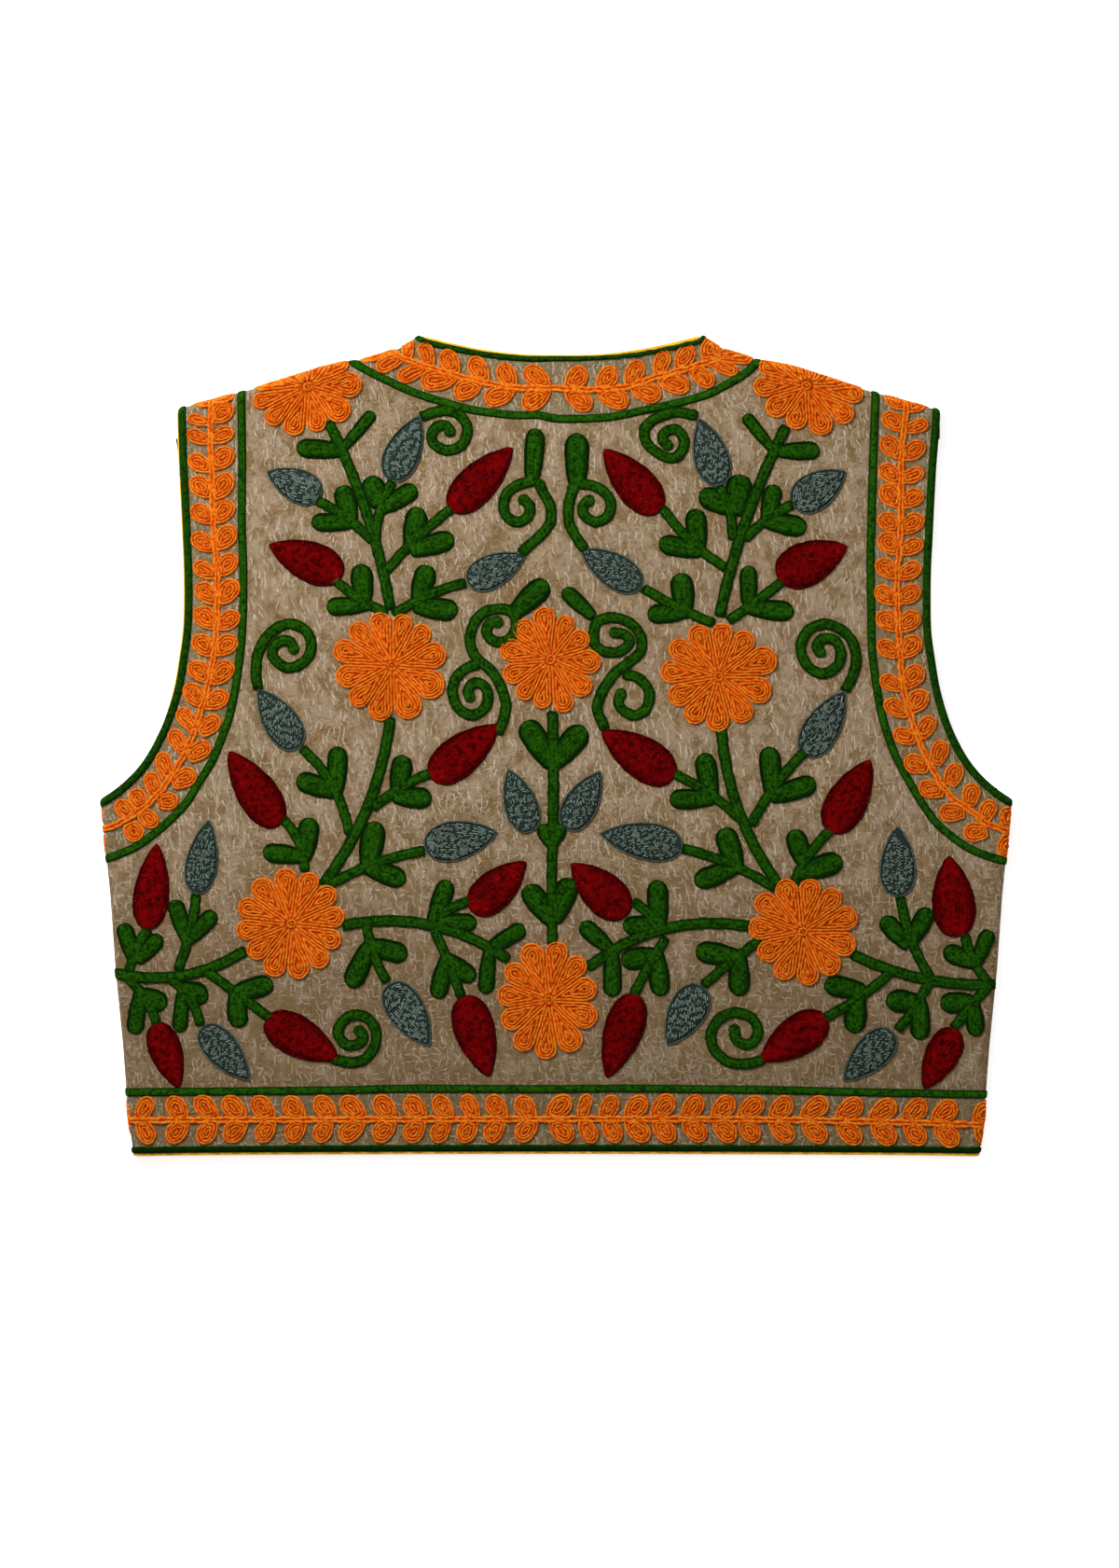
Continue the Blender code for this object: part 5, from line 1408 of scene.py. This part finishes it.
def edge_binding(label, curve, start, wide):
    """A felted roll with one row of stitches on it, with more painted rim shade along the hem."""
    end = start + wide
    bound = Rows(style=FELTED)
    edge_strip(bound, curve, ((start, -1.0), (start - 0.1, 0.4), (start + 0.4, 1.8), (end - 0.8, 2.0),
                              (end - 0.1, 1.4), (end, 0.3), (end, -1.0)), on_edge)
    row = curve - left_of(headings(curve)) * (start + wide / 2)[:, None]
    bound.add(row, half=float(wide.mean()) * 0.45, rise=1.5, base=0.5,
              rim=0.85 if label == "hem" else 0.55)
    return give(bound.build("binding_stitched_" + label), green)


for label, curve in edge_runs().items():
    lining = {"neck": NECK_LINING, "hem": HEM_LINING}.get(label, ARMHOLE_LINING)
    curve = trimmed(curve, width=lining + SEAM_GAP + BINDING_WIDTH)
    start, wide = seen_widths(label, *curve.T)
    for piece, node in ((lining_edge(label, curve, start), "lining_edge_"),
                        (edge_binding(label, curve, start, wide), "binding_")):
        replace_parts(piece, node + label)


# ---- the back's cloth ----
def away_from_folds(points, margin):
    """The points that lie clear of the rows round the folds."""
    past = np.maximum(*past_bend(*points.T))
    return points[(past < FOLD_FROM - margin) | (past > FOLD_TO + margin)]


def in_border(points):
    """1 in the leafy borders, outside their green lines, and 0 on the ground between them."""
    x, y = points.T
    neck_x, neck_y = np.array(NECK_LINE).T
    arm_x, arm_y = np.array(ARMHOLE_LINE_RIGHT).T
    over_neck = (x > neck_x[0]) & (x < neck_x[-1]) & (y > np.interp(x, neck_x, neck_y))
    past_armhole = (y > arm_y[-1]) & (np.abs(x) > np.interp(y, arm_y[::-1], arm_x[::-1]))
    return (over_neck | past_armhole | (y < np.interp(x, *np.array(HEM_LINE).T))).astype(float)


stitches = KDTree(sum(len(p) for p in stitched))
for spot in np.vstack(stitched):
    stitches.insert((*spot, 0.0), 0)
stitches.balance()


def off_stitches(points):
    """Distance of each point from the embroidery's stitches."""
    distance = np.array([stitches.find((x, y, 0.0))[2] for x, y in points])
    return np.maximum(distance - ROW_REACH, 0)


def painted_motif_shade(points):
    """Share of painted shade on the cloth: 1 beside the motifs and 0 clear of them."""
    return np.exp(-(off_stitches(points) / MOTIF_SHADE_REACH) ** 2)


def puffed(points):
    """Height that the cloth stands up by between the motifs, which the stitches pull down."""
    past = np.maximum(*past_bend(*points.T))
    flat = np.clip(-past / PUFF_OFF_FOLD, 0, 1)
    return PUFF * (1 - np.exp(-(off_stitches(points) / PUFF_REACH) ** 2)) * flat


outline = even(back_outline(UNDER_BINDING), 2.0, closed=True)
low, high = outline.min(0), outline.max(0)
fine = np.vstack([away_from_folds(lattice(BACK_STEP, low, high), 1.0), fold_lattice(1.1, 2.6)])
plain = np.vstack([away_from_folds(lattice(BACK_INSIDE_STEP, low, high), 3.0), fold_lattice(1.8, 6.0)])
back = give(panel("cloth_back", outline, fine, plain, on_back, inside_back, puffed,
                  (("border", in_border), ("near", painted_motif_shade))),
            cloth)
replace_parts(back, "back")


# ---- the fronts, which lie on the floor under the back ----
def under_reach(x, y):
    """How far a point of a front lies short of its side or shoulder seam, in plan."""
    side = side_bend(y) - SIDE_WRAP - SEAM_GAP - np.abs(x)
    return np.minimum(side, shoulder_bend(x) - SHOULDER_WRAP - SEAM_GAP - y)


def front_seam(start, end, on_shoulder):
    """Points along a front's seam, just short of the edge of the back that turns under."""
    way = np.linspace(start, end, 60)[1:-1]
    if on_shoulder:
        way[:, 1] = shoulder_bend(way[:, 0]) - SHOULDER_WRAP - SEAM_GAP
    else:
        way[:, 0] = np.sign(way[:, 0]) * (side_bend(way[:, 1]) - SIDE_WRAP - SEAM_GAP)
    return way


def lengthened(path, by=8.0):
    """A path drawn out straight at both ends."""
    first = path[0] + (path[0] - path[1]) / np.linalg.norm(path[0] - path[1]) * by
    last = path[-1] + (path[-1] - path[-2]) / np.linalg.norm(path[-1] - path[-2]) * by
    return np.vstack([first, path, last])


def inside_front(x, y, rise):
    """World points of a front's inner skin, which is plain."""
    return np.stack([x, y, np.full_like(x, CLOTH)], -1) * MM


def front_line(x, y, h):
    """World points at h under the middle of a front's cloth."""
    return np.stack([x, y, CLOTH / 2 - h], -1) * MM


def front_cut(hand, neckline, armhole):
    """A front's outline, with its edge hidden under the bindings."""
    front_edge = trimmed(shifted(neckline, hand * UNDER_BINDING), under_reach)
    sleeve_edge = trimmed(shifted(armhole, -hand * UNDER_BINDING), under_reach)
    side_seam = front_seam(front_edge[-1], sleeve_edge[-1], False)
    shoulder_seam = front_seam(sleeve_edge[0], front_edge[0], True)
    return even(np.vstack([front_edge, side_seam, sleeve_edge[::-1], shoulder_seam]), 2.5, closed=True)


def front_binding(name, curve, inwards):
    """A flat binding with two rows of stitches, on the side that faces the floor."""
    curve = trimmed(curve, under_reach, -inwards * BINDING_WIDTH)
    bound = Rows(on_front, under_reach, FELTED)
    edge_strip(bound, curve, ((0, 0.9), (-inwards * 0.1, 0.4), (0, -0.9),
                              (-inwards * BINDING_WIDTH, -0.9), (-inwards * 4.3, 0.4)), front_line)
    for share in (0.25, 0.75):
        bound.add(shifted(curve, inwards * BINDING_WIDTH * share), half=1.1, rise=0.9)
    piece = give(bound.build("binding_stitched_" + name), green)
    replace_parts(piece, "binding_" + name)
    return piece


for hand, label in ((1, "right"), (-1, "left")):
    neckline = lengthened(smooth([(hand * x, y) for x, y in FRONT_NECKLINE], 2.0))
    armhole = lengthened(smooth([(hand * x, y) for x, y in FRONT_ARMHOLE], 2.0))
    cut = front_cut(hand, neckline, armhole)
    low, high = cut.min(0), cut.max(0)
    on_it = [front_binding("front_" + label, neckline, hand),
             front_binding("under_armhole_" + label, armhole, -hand)]
    shell = panel("cloth_front_" + label, cut, lattice(FRONT_STEP, low, high),
                  lattice(FRONT_INSIDE_STEP, low, high), on_front, inside_front, outer_faces_up=False)
    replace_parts(give(shell, cloth), "front_" + label)


# ---- studio ----
bpy.ops.mesh.primitive_plane_add(size=8, location=(0, 0, -0.0004))
floor = bpy.context.object
floor.name = "floor"
floor.data.materials.append(floor_material())


def area_light(name, place, aim, size, power):
    """A round lamp that points at its aim."""
    light = bpy.data.lights.new(name, "AREA")
    light.shape, light.size, light.energy = "DISK", size, power
    lamp = bpy.data.objects.new(name, light)
    bpy.context.scene.collection.objects.link(lamp)
    lamp.location = place
    lamp.rotation_euler = (Vector(aim) - Vector(place)).to_track_quat("-Z", "Y").to_euler()


area_light("key light", (-0.6, 0.8, 0.98), (0, 0, 0), 0.25, 29.0)
area_light("fill light", (0.9, 0.0, 1.5), (0, 0, 0), 1.2, 5.0)
world = bpy.data.worlds.new("studio")
bpy.context.scene.world = world
world.use_nodes = True
world.node_tree.nodes["Background"].inputs["Color"].default_value = (1, 1, 1, 1)
world.node_tree.nodes["Background"].inputs["Strength"].default_value = 0.38
bpy.context.scene.view_settings.view_transform = "Standard"

camera_data = bpy.data.cameras.new("camera")
camera_data.lens, camera_data.sensor_width = 85.0, 36.0
camera = bpy.data.objects.new("camera", camera_data)
bpy.context.scene.collection.objects.link(camera)
camera.location = (1.75 * MM, -20.25 * MM, 1.9885)
camera.rotation_euler = (0, 0, 0)
bpy.context.scene.camera = camera
